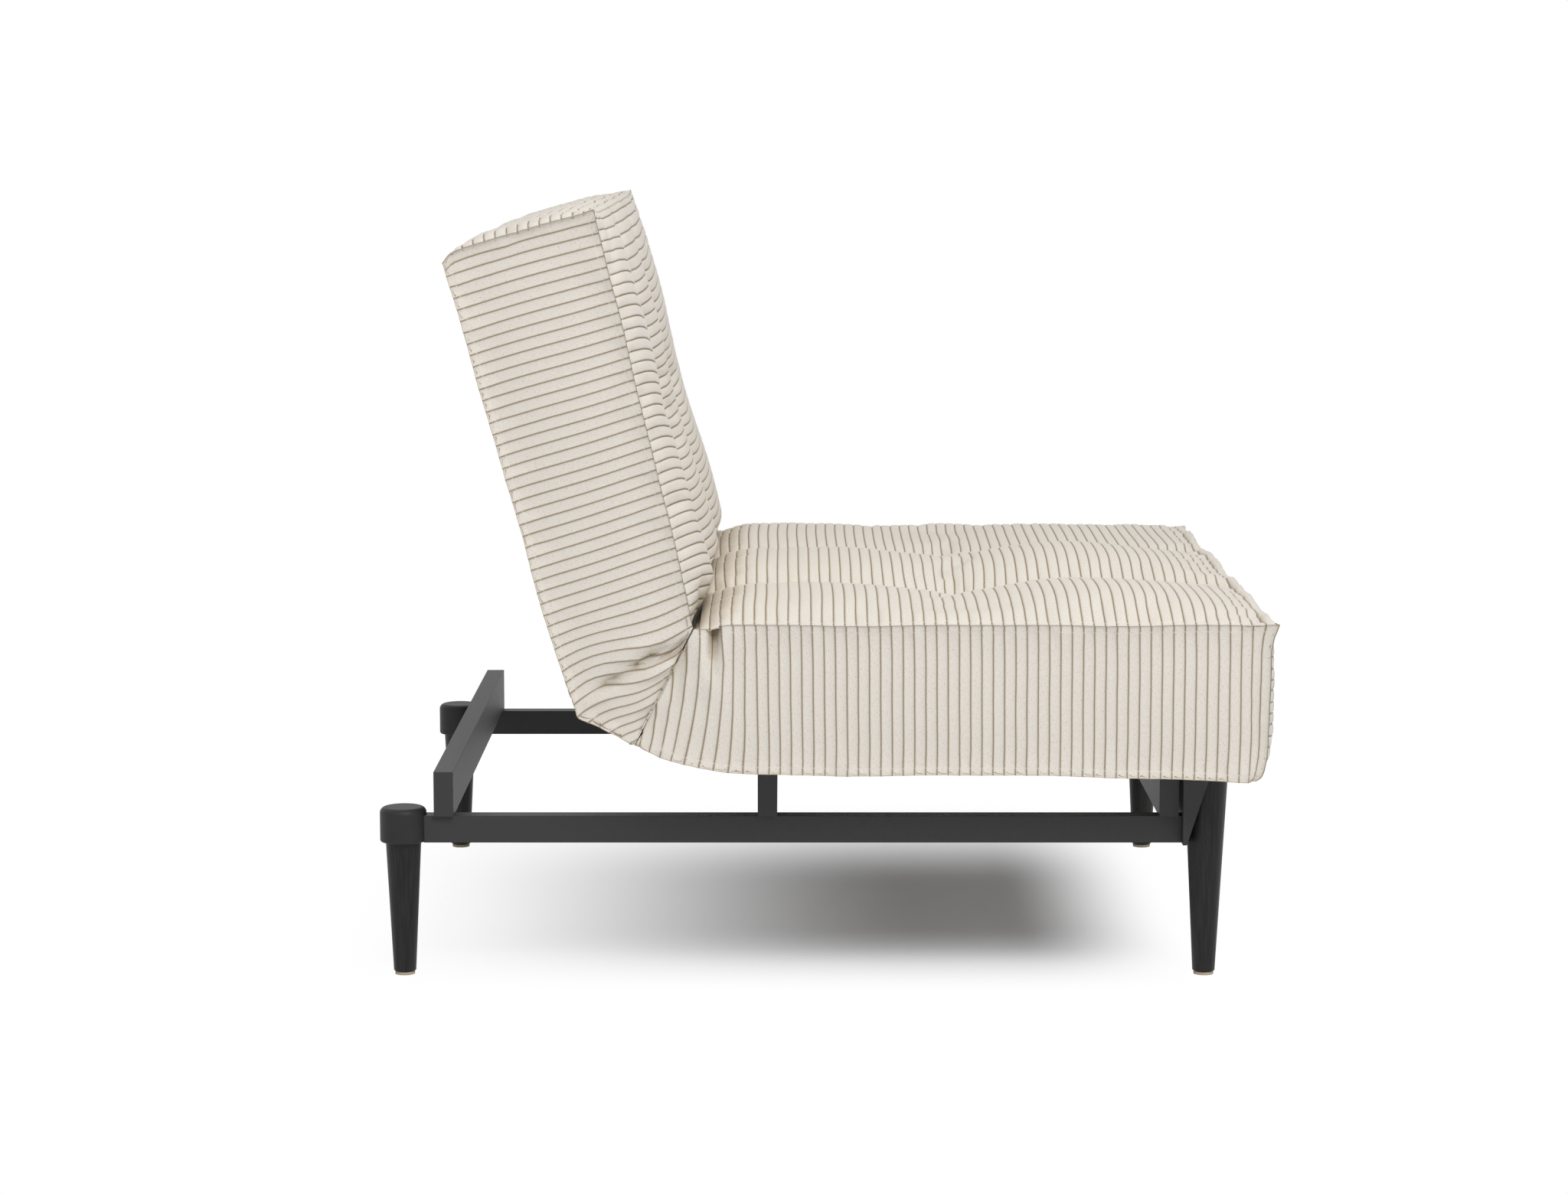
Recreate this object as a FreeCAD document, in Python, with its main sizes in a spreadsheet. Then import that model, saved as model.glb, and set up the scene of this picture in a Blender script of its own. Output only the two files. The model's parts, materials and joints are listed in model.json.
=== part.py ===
import FreeCAD, Part
import math
import os
import Sketcher

# An armless recliner: an upholstered seat and a back that folds down flat behind it, on a steel underframe
# with turned wooden legs. Millimetres and degrees. +X is the front, +Y the sitter's left and +Z up, with the
# origin on the floor under the middle of the chair.

os.makedirs("parts", exist_ok=True)
Vector = FreeCAD.Vector
doc = FreeCAD.newDocument("recliner")

# Driving sizes
SIZES = {
    # Legs: how far in from the cushions' sides and how far apart their axes are, and the turned wood
    "leg_inset": 108,
    "leg_spacing": 827,
    "rear_leg_setback": 431,
    "glide_diameter": 20.5,
    "glide_thickness": 3,
    "leg_foot_diameter": 23,
    "leg_foot_chamfer": 1.2,
    "rear_leg_top_diameter": 37,
    "front_leg_top_diameter": 44.4,
    # Side rails and crossbeams of rectangular tube
    "rail_clearance": 139.5,
    "rail_height": 28,
    "rail_width": 20,
    "tube_wall": 1.5,
    "beam_height": 46.5,
    "beam_width": 20,
    "beam_overhang": 6,
    "beam_plug": 2,
    "rear_beam_offset": 43,
    "middle_beam_offset": 375.5,
    "front_beam_gap": 3.6,
    # Caps on the rear legs and brackets behind the front ones
    "cap_diameter": 48,
    "cap_height": 36,
    "cap_top_round": 6,
    "cap_bottom_round": 2,
    "cap_recess": 5,
    "bracket_plate": 3,
    "bracket_drop": 3,
    "cheek_foot": 1,
    "cheek_reach": 24,
    "front_bolt_setback": 9,
    # Bolts: shank, head and how far they go in
    "leg_bolt_diameter": 10,
    "leg_bolt_depth": 40,
    "cap_bolt_depth": 18,
    "bolt_diameter": 8,
    "bolt_head_diameter": 13,
    "bolt_head_height": 5,
    "bolt_grip": 14,
    "wrench_hole_diameter": 18,
    "spacer_diameter": 18,
    "bolt_clearance": 0.2,
    "seam_clearance": 0.1,
    # The cushions' outside
    "cushion_width": 900,
    "side_bulge": 5,
    "seat_gap": 12,
    "seat_thickness": 152,
    "seat_overhang": 59,
    "front_crown": 3,
    "top_crown": 9,
    "end_inset": 16,
    "band_crown": 15,
    "channel_drop": 9,
    "tuft_drop": 14,
    "tuft_valley": 6,
    "channel_spacing": 300,
    "seat_tuft_setback": 312,
    "back_length": 507,
    "back_top_thickness": 164,
    "back_low_thickness": 138,
    "back_tuft_distance": 300,
    "shoulder": 45,
    "cover_wall": 4,
    "cover_underside": 3,
    "wadding": 16,
    "foam_clearance": 0.3,
    # The fold between seat and back
    "pivot_setback": 185,
    "pivot_height": 49,
    "back_lean_angle": 15.7,
    "flat_rest_gap": 1,
    "fold_angle": 63,
    "fold_wedge_angle": 9.5,
    "fold_radius": 30,
    "heel_rise": 14,
    "heel_setback": 29,
    "heel_length": 46,
    "heel_slope_angle": 29,
    "tail_rise": 10,
    "tail_setback": 30,
    "tail_length": 28,
    "tail_slope_angle": 43,
    "gusset_depth": 16.5,
    "gusset_cloth": 2,
    "crease_floor": 76,
    "crease_rim": 108,
    # Frames and slats inside the cushions
    "frame_inset": 42,
    "frame_tube_width": 20,
    "frame_tube_height": 25,
    "frame_lift": 6,
    "frame_edge": 30,
    "hinge_reach": 75,
    "rear_cross_inset": 15,
    "slat_width": 60,
    "slat_thickness": 8,
    "slat_overhang": 110,
    "slat_end_inset": 30,
    "tray_clearance": 4,
    # The ratchet hinges
    "arm_thickness": 4,
    "hinge_gap": 0.3,
    "hinge_eye_radius": 12.5,
    "arm_grip_length": 90,
    "arm_margin": 2,
    "arm_bolt_inset": 20,
    "arm_bolt_pitch": 50,
    "pivot_diameter": 10,
    "pivot_head_diameter": 16,
    "rivet_head": 3,
    "running_clearance": 0.06,
    "ratchet_radius": 22,
    "tooth_depth": 2.4,
    "tooth_pitch_angle": 12,
    "ratchet_start_angle": 84,
    "pawl_pin_radius": 50,
    "pawl_pin_angle": 128,
    "pawl_tip_angle": 97,
    "pawl_gap": 0.4,
    "pawl_boss_radius": 7,
    "pawl_tip_width": 5,
    "pawl_pin_diameter": 6,
    "pawl_pin_head_diameter": 10,
    "spring_leaf": 0.8,
    "spring_block": 6,
    "spring_gap": 0.4,
    "hinge_room": 6,
}
SEAT_SLAT_COUNT = 5
BACK_SLAT_COUNT = 4
TOOTH_COUNT = 8
# Shares of another size: how far an arm spans its eye, the flat of a pawl's boss and the reach of its spring,
# the crown left at a cushion's shoulder and at its end seam, the wall of a cover on its slope, and how many
# clearances a front leg has in its bracket
EYE_SHARE = 0.9
BOSS_SHARE = 0.7
LEAF_SHARE = 0.7
SHOULDER_SHARE = 0.7
SEAM_CREST_SHARE = 0.2
SEAM_CHANNEL_SHARE = 0.1
SLOPE_WALL_SHARE = 1.2
LEG_FIT_SHARE = 4

sheet = doc.addObject("Spreadsheet::Sheet", "sizes")
for row, (alias, number) in enumerate(SIZES.items(), start=1):
    sheet.set(f"A{row}", alias.replace("_", " "))
    sheet.set(f"B{row}", str(number))
    sheet.setAlias(f"B{row}", alias)
doc.recompute()


class Size:
    """A length or an angle: its value, and the expression over the sheet's cells that gives it."""

    def __init__(self, text, number):
        self.text = text
        self.number = number

    def __add__(self, other):
        other = size(other)
        return Size(f"({self.text} + {other.text})", self.number + other.number)

    def __sub__(self, other):
        other = size(other)
        return Size(f"({self.text} - {other.text})", self.number - other.number)

    def __mul__(self, other):
        other = size(other)
        return Size(f"({self.text} * {other.text})", self.number * other.number)

    def __truediv__(self, other):
        other = size(other)
        return Size(f"({self.text} / {other.text})", self.number / other.number)

    def __neg__(self):
        return Size(f"(-1 * {self.text})", -self.number)


def size(value):
    return value if isinstance(value, Size) else Size(repr(float(value)), float(value))


def given(alias):
    return Size(f"sizes.{alias}", float(sheet.get(alias)))


def sine(angle):
    return Size(f"sin({angle.text})", math.sin(math.radians(angle.number)))


def cosine(angle):
    return Size(f"cos({angle.text})", math.cos(math.radians(angle.number)))


# Levels and places that the driving sizes give
ZERO = size(0)
clear = given("seam_clearance")
half_track = given("cushion_width") / 2 - given("leg_inset")
rear_leg_x = -given("rear_leg_setback")
front_leg_x = rear_leg_x + given("leg_spacing")
rail_bottom = given("rail_clearance")
rail_top = rail_bottom + given("rail_height")
beam_top = rail_top + given("beam_height")
beam_half = half_track + given("rail_width") / 2 + given("beam_overhang")
bracket_inside = given("front_leg_top_diameter") / 2 + clear * LEG_FIT_SHARE
bracket_outside = bracket_inside + given("bracket_plate")
bracket_back = front_leg_x - bracket_outside
bracket_top = beam_top - given("bracket_drop")
rear_beam_x = rear_leg_x + given("rear_beam_offset")
middle_beam_x = rear_leg_x + given("middle_beam_offset")
front_beam_x = bracket_back - given("front_beam_gap") - given("beam_width") / 2
seat_bottom = beam_top + given("seat_gap")
seat_front = front_leg_x + given("seat_overhang")
pivot_x = -given("pivot_setback")
pivot_z = seat_bottom + given("pivot_height")
recline_travel = size(90) - given("back_lean_angle")
back_rear = given("flat_rest_gap") - given("pivot_height") - given("seat_gap")
frame_half = half_track - given("frame_inset")
frame_bottom = seat_bottom + given("frame_lift")
frame_top = frame_bottom + given("frame_tube_height")
frame_outside = frame_half + given("frame_tube_width") / 2
seat_frame_rear = pivot_x + given("hinge_reach")
seat_frame_front = seat_front - given("frame_edge")
arm_outside = frame_outside + given("arm_thickness")
back_arm_inside = arm_outside + given("hinge_gap")
back_arm_outside = back_arm_inside + given("arm_thickness")
back_frame_half = back_arm_inside - given("frame_tube_width") / 2
back_frame_bottom = back_rear + given("frame_lift") - given("flat_rest_gap")
back_frame_top = back_frame_bottom + given("frame_tube_height")
back_frame_far = given("frame_edge") - given("back_length")
back_frame_near = -given("hinge_reach")

nodes = []


def keep(thing, label):
    """Names a finished sub-part and lists it for writing out."""
    thing.Label = label
    nodes.append(thing)
    return thing


def bind(thing, path, value):
    thing.setExpression(path, size(value).text)


def place(thing, x=0, y=0, z=0, axis=None, turn=0):
    """Puts a piece at x, y, z, turned about an axis."""
    if axis is not None:
        thing.Placement = FreeCAD.Placement(Vector(), FreeCAD.Rotation(axis, size(turn).number))
        bind(thing, "Placement.Rotation.Angle", turn)
    for letter, value in (("x", x), ("y", y), ("z", z)):
        bind(thing, f"Placement.Base.{letter}", value)
    return thing


def on_back(x, z):
    """The chair's x and z of a point of the back, given as it lies flat, measured from the pivot."""
    across = pivot_x + size(x) * cosine(recline_travel) + size(z) * sine(recline_travel)
    up = pivot_z - size(x) * sine(recline_travel) + size(z) * cosine(recline_travel)
    return across, up


def place_on_back(thing, x=0, y=0, z=0):
    """Puts a piece on the back at a place given as it lies flat, and raises it with the back."""
    across, up = on_back(x, z)
    return place(thing, across, y, up, Vector(0, 1, 0), recline_travel)


def from_pivot(radius, angle):
    """A point at a radius and angle about the hinge pivot, as x and z from it."""
    return size(radius) * cosine(size(angle)), size(radius) * sine(size(angle))


# Solids from primitives
def box(name, length, width, height):
    thing = doc.addObject("Part::Box", name)
    bind(thing, "Length", length)
    bind(thing, "Width", width)
    bind(thing, "Height", height)
    return thing


def cylinder(name, diameter, height):
    thing = doc.addObject("Part::Cylinder", name)
    bind(thing, "Radius", size(diameter) / 2)
    bind(thing, "Height", height)
    return thing


def crosswise(thing, x, y, z):
    """Turns a cylinder to lie across the chair, from y towards the sitter's left."""
    return place(thing, x, y, z, Vector(1, 0, 0), -90)


def cut_away(name, base, tools):
    """The base without its tools."""
    tool = tools[0]
    if len(tools) > 1:
        tool = doc.addObject("Part::MultiFuse", name + "_tools")
        tool.Shapes = tools
    thing = doc.addObject("Part::Cut", name)
    thing.Base = base
    thing.Tool = tool
    return thing


def joined(name, pieces):
    thing = doc.addObject("Part::MultiFuse", name)
    thing.Shapes = pieces
    return thing


def group(name, pieces):
    thing = doc.addObject("Part::Compound", name)
    thing.Links = pieces
    return thing


# Solids from sketches
def new_body(name):
    return doc.addObject("PartDesign::Body", name)


def new_sketch(body, role, name, height=0):
    sketch = body.newObject("Sketcher::SketchObject", f"{body.Name}_{name}")
    plane = next(f for f in body.Origin.OriginFeatures if f.Role == role)
    sketch.AttachmentSupport = [(plane, "")]
    sketch.MapMode = "FlatFace"
    bind(sketch, "AttachmentOffset.Base.z", height)
    return sketch


def fix_point(sketch, geometry, end, x, y):
    for kind, axis, value in (("DistanceX", -2, x), ("DistanceY", -1, y)):
        if value is ZERO:
            sketch.addConstraint(Sketcher.Constraint("PointOnObject", geometry, end, axis))
        else:
            index = sketch.addConstraint(Sketcher.Constraint(kind, -1, 1, geometry, end, value.number))
            sketch.setExpression(f"Constraints[{index}]", value.text)


def outline(sketch, points):
    """A closed run of straight lines through the points."""
    first = sketch.GeometryCount
    after = points[1:] + points[:1]
    for (x0, y0), (x1, y1) in zip(points, after):
        start = Vector(x0.number, y0.number, 0)
        sketch.addGeometry(Part.LineSegment(start, Vector(x1.number, y1.number, 0)))
    for step, (x, y) in enumerate(points):
        follower = first + (step + 1) % len(points)
        sketch.addConstraint(Sketcher.Constraint("Coincident", first + step, 2, follower, 1))
        fix_point(sketch, first + step, 1, x, y)
    return sketch


def rectangle(sketch, x0, y0, x1, y1):
    return outline(sketch, [(x0, y0), (x1, y0), (x1, y1), (x0, y1)])


def ring(sketch, x, y, radius):
    centre = Vector(x.number, y.number, 0)
    index = sketch.addGeometry(Part.Circle(centre, Vector(0, 0, 1), radius.number))
    fix_point(sketch, index, 3, x, y)
    datum = sketch.addConstraint(Sketcher.Constraint("Radius", index, radius.number))
    sketch.setExpression(f"Constraints[{datum}]", radius.text)
    return sketch


def pad(body, sketch, length, side="One side"):
    feature = body.newObject("PartDesign::Pad", sketch.Name + "_pad")
    feature.Profile = sketch
    feature.SideType = side
    bind(feature, "Length", length)
    doc.recompute()
    return feature


def pocket(body, sketch, length, side="One side", reverse=False):
    before = body.Shape.Volume
    feature = body.newObject("PartDesign::Pocket", sketch.Name + "_pocket")
    feature.Profile = sketch
    feature.SideType = side
    feature.Reversed = reverse
    bind(feature, "Length", length)
    doc.recompute()
    if not body.Shape.Volume < before:
        raise RuntimeError(f"{feature.Name} removed nothing")
    return feature


def tube_profile(sketch, width, height, wall):
    """The section of a rectangular tube, centred on the sketch's origin."""
    rectangle(sketch, -width / 2, -height / 2, width / 2, height / 2)
    return rectangle(sketch, wall - width / 2, wall - height / 2, width / 2 - wall, height / 2 - wall)


# Underframe
def side_rail(label, y):
    """A rail between the rear cap, whose round side its end is cut to, and the front bracket."""
    start = rear_leg_x + given("cap_diameter") / 4
    body = new_body(label)
    section = new_sketch(body, "YZ_Plane", "section")
    tube_profile(section, given("rail_width"), given("rail_height"), given("tube_wall"))
    pad(body, section, bracket_back - start)
    cope = new_sketch(body, "XY_Plane", "cope")
    ring(cope, rear_leg_x - start, ZERO, given("cap_diameter") / 2 + clear)
    pocket(body, cope, given("rail_height") * 2, "Symmetric")
    place(body, start, y, rail_bottom + given("rail_height") / 2)
    keep(body, label)


def crossbeam(label, x, bolted):
    """A beam on edge across the rails. A bolted one carries the seat and has holes for its bolts."""
    body = new_body(label)
    section = new_sketch(body, "XZ_Plane", "section")
    tube_profile(section, given("beam_width"), given("beam_height"), given("tube_wall"))
    pad(body, section, (beam_half - given("beam_plug")) * 2, "Symmetric")
    if bolted:
        for name, level, diameter, reverse in (
            ("bolt_holes", given("beam_height") / 2, given("bolt_diameter") + given("bolt_clearance"), False),
            ("wrench_holes", -given("beam_height") / 2, given("wrench_hole_diameter"), True),
        ):
            holes = new_sketch(body, "XY_Plane", name, level)
            for y in (frame_half, -frame_half):
                ring(holes, ZERO, y, diameter / 2)
            pocket(body, holes, given("tube_wall") * 2, reverse=reverse)
    place(body, x, 0, rail_top + given("beam_height") / 2)
    keep(body, label)


def beam_plugs():
    """The plates that close the beams' ends."""
    plugs = []
    for name, x in (("rear", rear_beam_x), ("middle", middle_beam_x), ("front", front_beam_x)):
        for side, y in (("left", beam_half - given("beam_plug")), ("right", -beam_half)):
            plug = box(f"{name}_{side}_plug", given("beam_width"), given("beam_plug"), given("beam_height"))
            plugs.append(place(plug, x - given("beam_width") / 2, y, rail_top))
    keep(group("beam_end_plugs", plugs), "beam_end_plugs")


def level_edges(shape, level):
    """The names of a shape's round edges at a height."""
    found = []
    for number, edge in enumerate(shape.Edges, start=1):
        heights = [vertex.Point.z for vertex in edge.Vertexes]
        if isinstance(edge.Curve, Part.Circle) and all(abs(z - level.number) < 1e-6 for z in heights):
            found.append(f"Edge{number}")
    return found


def leg_cap(label, y):
    """A turned cap on a rear leg, with a recess for the leg's top and a bore for its bolt."""
    body = new_body(label)
    disc = new_sketch(body, "XY_Plane", "disc")
    ring(disc, ZERO, ZERO, given("cap_diameter") / 2)
    base = pad(body, disc, given("cap_height"))
    for name, level in (("cap_top_round", given("cap_height")), ("cap_bottom_round", ZERO)):
        rounded = body.newObject("PartDesign::Fillet", f"{label}_{name}")
        rounded.Base = (base, level_edges(base.Shape, level))
        bind(rounded, "Radius", given(name))
        doc.recompute()
        base = rounded
    recess = new_sketch(body, "XY_Plane", "recess")
    ring(recess, ZERO, ZERO, given("rear_leg_top_diameter") / 2 + clear)
    pocket(body, recess, given("cap_recess"), reverse=True)
    bore = new_sketch(body, "XY_Plane", "bore")
    ring(bore, ZERO, ZERO, (given("leg_bolt_diameter") + given("bolt_clearance")) / 2)
    pocket(body, bore, given("cap_recess") + given("cap_bolt_depth") + clear, reverse=True)
    place(body, rear_leg_x, y, rail_bottom)
    keep(body, label)


def leg_bracket(label, y):
    """A channel of bent plate that holds a front leg: back, two slanted cheeks and a top with a bolt hole."""
    height = bracket_top - rail_bottom
    body = new_body(label)
    side = new_sketch(body, "XZ_Plane", "side")
    corners = [
        (-bracket_outside, ZERO),
        (given("cheek_foot") - bracket_inside, ZERO),
        (given("cheek_reach") - bracket_inside, height),
        (-bracket_outside, height),
    ]
    pad(body, outline(side, corners), bracket_outside * 2, "Symmetric")
    hollow = new_sketch(body, "XY_Plane", "hollow")
    rectangle(hollow, -bracket_inside, -bracket_inside, given("cheek_reach"), bracket_inside)
    pocket(body, hollow, height - given("bracket_plate"), reverse=True)
    hole = new_sketch(body, "XY_Plane", "hole", height)
    ring(hole, -given("front_bolt_setback"), ZERO, (given("bolt_diameter") + given("bolt_clearance")) / 2)
    pocket(body, hole, given("bracket_plate") * 2)
    place(body, front_leg_x, y, rail_bottom)
    keep(body, label)


def leg(label, x, y, top, top_diameter, bore_diameter, bore_x):
    """A tapered leg with a chamfered foot and a bore for its bolt."""
    cone = doc.addObject("Part::Cone", label + "_cone")
    bind(cone, "Radius1", given("leg_foot_diameter") / 2)
    bind(cone, "Radius2", top_diameter / 2)
    bind(cone, "Height", top - given("glide_thickness"))
    doc.recompute()
    eased = doc.addObject("Part::Chamfer", label + "_eased")
    eased.Base = cone
    ease = given("leg_foot_chamfer").number
    eased.Edges = [(int(name[4:]), ease, ease) for name in level_edges(cone.Shape, ZERO)]
    bore = cylinder(label + "_bore", bore_diameter + given("bolt_clearance"), given("leg_bolt_depth"))
    place(bore, bore_x, 0, top - given("glide_thickness") - given("leg_bolt_depth"))
    thing = cut_away(label, eased, [bore])
    place(thing, x, y, given("glide_thickness"))
    keep(thing, label)


def glide(label, x, y):
    disc = cylinder(label, given("glide_diameter"), given("glide_thickness"))
    keep(place(disc, x, y, 0), label)


def headed_bolt(name, diameter, length):
    """A bolt that points down, its head's underside at its own origin."""
    shank = place(cylinder(name + "_shank", diameter, length), 0, 0, -length)
    head = cylinder(name + "_head", given("bolt_head_diameter"), given("bolt_head_height"))
    return joined(name, [shank, head])


def leg_bolts(rear_top, front_top):
    """Hanger bolts between the caps and the rear legs, and headed bolts down into the front legs."""
    bolts = []
    margin = clear * 2
    for side, y in (("left", half_track), ("right", -half_track)):
        length = given("leg_bolt_depth") + given("cap_bolt_depth") - margin
        hanger = cylinder(f"rear_{side}_leg_bolt", given("leg_bolt_diameter"), length)
        bolts.append(place(hanger, rear_leg_x, y, rear_top - given("leg_bolt_depth") + clear))
        length = bracket_top - front_top + given("leg_bolt_depth") - margin
        bolt = headed_bolt(f"front_{side}_leg_bolt", given("bolt_diameter"), length)
        bolts.append(place(bolt, front_leg_x - given("front_bolt_setback"), y, bracket_top))
    keep(group("leg_bolts", bolts), "leg_bolts")


def underframe():
    rear_top = rail_bottom + given("cap_recess")
    front_top = bracket_top - given("bracket_plate")
    for side, y in (("left", half_track), ("right", -half_track)):
        side_rail(f"{side}_side_rail", y)
        leg_cap(f"rear_{side}_leg_cap", y)
        leg_bracket(f"front_{side}_leg_bracket", y)
        diameter = given("rear_leg_top_diameter")
        leg(f"rear_{side}_leg", rear_leg_x, y, rear_top, diameter, given("leg_bolt_diameter"), ZERO)
        bolt_x = -given("front_bolt_setback")
        diameter = given("front_leg_top_diameter")
        leg(f"front_{side}_leg", front_leg_x, y, front_top, diameter, given("bolt_diameter"), bolt_x)
        glide(f"rear_{side}_glide", rear_leg_x, y)
        glide(f"front_{side}_glide", front_leg_x, y)
    crossbeam("rear_crossbeam", rear_beam_x, False)
    crossbeam("middle_crossbeam", middle_beam_x, True)
    crossbeam("front_crossbeam", front_beam_x, True)
    beam_plugs()
    leg_bolts(rear_top, front_top)


# Frames and slats
def frame_tube(name, length, width, height):
    """An open-ended rectangular tube along X or Y, whichever of its two lengths is the greater."""
    wall = given("tube_wall")
    outer = box(name + "_outer", length, width, height)
    if length.number > width.number:
        inner = place(box(name + "_inner", length, width - wall * 2, height - wall * 2), 0, wall, wall)
    else:
        inner = place(box(name + "_inner", length - wall * 2, width, height - wall * 2), wall, 0, wall)
    return outer, inner


def seat_side_tube(label, side):
    """A side tube of the seat frame, with holes for the bolts up from the beams and in from the hinge."""
    hole = given("bolt_diameter") + given("bolt_clearance")
    width = given("frame_tube_width")
    height = given("frame_tube_height")
    outer, inner = frame_tube(label, seat_frame_front - seat_frame_rear, width, height)
    tools = [inner]
    for name, x in (("middle", middle_beam_x), ("front", front_beam_x)):
        drill = cylinder(f"{label}_{name}_hole", hole, height / 2)
        tools.append(place(drill, x - seat_frame_rear, width / 2, -height / 4))
    for number, x in enumerate(arm_bolt_distances()):
        drill = cylinder(f"{label}_arm_hole_{number}", hole, width / 2)
        y = width * 3 / 4 if side > 0 else -width / 4
        tools.append(crosswise(drill, x, y, height / 2))
    thing = cut_away(label, outer, tools)
    place(thing, seat_frame_rear, frame_half * side - width / 2, frame_bottom)
    keep(thing, label)


def arm_bolt_distances():
    """How far along a frame's side tube, from its hinge end, its two hinge arm bolts go in."""
    return given("arm_bolt_inset"), given("arm_bolt_inset") + given("arm_bolt_pitch")


def back_side_tube(label, side):
    hole = given("bolt_diameter") + given("bolt_clearance")
    width = given("frame_tube_width")
    height = given("frame_tube_height")
    length = back_frame_near - back_frame_far
    outer, inner = frame_tube(label, length, width, height)
    tools = [inner]
    for number, distance in enumerate(arm_bolt_distances()):
        drill = cylinder(f"{label}_arm_hole_{number}", hole, width / 2)
        y = width * 3 / 4 if side > 0 else -width / 4
        tools.append(crosswise(drill, length - distance, y, height / 2))
    thing = cut_away(label, outer, tools)
    place_on_back(thing, back_frame_far, back_frame_half * side - width / 2, back_frame_bottom)
    keep(thing, label)


def cross_tube(label, half, placer, x, z):
    """A tube between a frame's two side tubes."""
    reach = half - given("frame_tube_width") / 2 - clear
    tube = frame_tube(label, given("frame_tube_width"), reach * 2, given("frame_tube_height"))
    thing = cut_away(label, tube[0], [tube[1]])
    keep(placer(thing, x, -reach, z), label)


def slats(label, half, placer, start, end, z, count):
    """Slats laid across a frame, evenly spaced from start to end."""
    reach = half + given("slat_overhang")
    pitch = (end - start - given("slat_width")) / (count - 1)
    pieces = []
    for number in range(count):
        slat = box(f"{label}_{number}", given("slat_width"), reach * 2, given("slat_thickness"))
        pieces.append(placer(slat, start + pitch * number, -reach, z))
    keep(group(label, pieces), label)


def seat_fixings():
    """Spacers between the beams and the seat's frame, and the bolts up through them."""
    spacers = []
    bolts = []
    hole = given("bolt_diameter") + given("bolt_clearance")
    for name, x in (("middle", middle_beam_x), ("front", front_beam_x)):
        for side, y in (("left", frame_half), ("right", -frame_half)):
            height = frame_bottom - beam_top
            tube = cylinder(f"{name}_{side}_spacer_tube", given("spacer_diameter"), height)
            bore = cylinder(f"{name}_{side}_spacer_bore", hole, height)
            spacers.append(place(cut_away(f"{name}_{side}_spacer", tube, [bore]), x, y, beam_top))
            grip = given("tube_wall") + height + given("bolt_grip")
            bolt = headed_bolt(f"{name}_{side}_seat_bolt", given("bolt_diameter"), grip)
            head_level = beam_top - given("tube_wall")
            bolts.append(place(bolt, x, y, head_level, Vector(1, 0, 0), 180))
    keep(group("seat_spacers", spacers), "seat_spacers")
    keep(group("seat_bolts", bolts), "seat_bolts")


def frames():
    for side, name in ((1, "left"), (-1, "right")):
        seat_side_tube(f"seat_{name}_frame_tube", side)
        back_side_tube(f"back_{name}_frame_tube", side)
    width = given("frame_tube_width")
    cross_tube("seat_front_frame_tube", frame_half, place, seat_frame_front - width, frame_bottom)
    rear_x = seat_frame_rear + given("rear_cross_inset")
    cross_tube("seat_rear_frame_tube", frame_half, place, rear_x, frame_bottom)
    cross_tube("back_top_frame_tube", back_frame_half, place_on_back, back_frame_far, back_frame_bottom)
    low_x = back_frame_near - given("rear_cross_inset") - width
    cross_tube("back_bottom_frame_tube", back_frame_half, place_on_back, low_x, back_frame_bottom)
    inset = given("slat_end_inset")
    start = seat_frame_rear + inset
    end = seat_frame_front - inset
    slats("seat_slats", frame_half, place, start, end, frame_top, SEAT_SLAT_COUNT)
    start = back_frame_far + inset
    end = back_frame_near - inset
    slats("back_slats", back_frame_half, place_on_back, start, end, back_frame_top, BACK_SLAT_COUNT)
    seat_fixings()


# Ratchet hinges
def arm_holes(body, centres, diameter, name):
    holes = new_sketch(body, "XZ_Plane", name)
    for x, z in centres:
        ring(holes, x, z, diameter / 2)
    pocket(body, holes, given("arm_thickness") * 3, "Symmetric")


def ratchet_outline():
    """The toothed quadrant: saw teeth on an arc about the pivot, and the pivot itself."""
    points = [(ZERO, ZERO)]
    for tooth in range(TOOTH_COUNT):
        angle = given("ratchet_start_angle") + given("tooth_pitch_angle") * tooth
        points.append(from_pivot(given("ratchet_radius") - given("tooth_depth"), angle))
        points.append(from_pivot(given("ratchet_radius"), angle + given("tooth_pitch_angle") / 4))
    return points


def seat_arm(label, side):
    """The hinge arm bolted to the seat's frame, with the ratchet's teeth about its eye."""
    margin = given("arm_margin")
    reach = given("hinge_reach")
    low = frame_bottom - pivot_z + margin
    high = frame_top - pivot_z - margin
    eye = given("hinge_eye_radius")
    body = new_body(label)
    plate = new_sketch(body, "XZ_Plane", "plate")
    corners = [
        (-eye / 4, eye * EYE_SHARE),
        (eye / 4, eye * EYE_SHARE),
        (reach, high),
        (reach + given("arm_grip_length"), high),
        (reach + given("arm_grip_length"), low),
        (reach, low),
        (-eye / 4, -eye * EYE_SHARE),
    ]
    pad(body, outline(plate, corners), given("arm_thickness"))
    pad(body, ring(new_sketch(body, "XZ_Plane", "eye"), ZERO, ZERO, eye), given("arm_thickness"))
    pad(body, outline(new_sketch(body, "XZ_Plane", "teeth"), ratchet_outline()), given("arm_thickness"))
    arm_holes(body, [(ZERO, ZERO)], given("pivot_diameter") + clear, "pivot_hole")
    middle = (low + high) / 2
    centres = [(reach + distance, middle) for distance in arm_bolt_distances()]
    arm_holes(body, centres, given("bolt_diameter") + given("bolt_clearance"), "bolt_holes")
    place(body, pivot_x, arm_outside if side > 0 else -frame_outside, pivot_z)
    keep(body, label)


pawl_pin = from_pivot(given("pawl_pin_radius"), given("pawl_pin_angle") + recline_travel)


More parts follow.
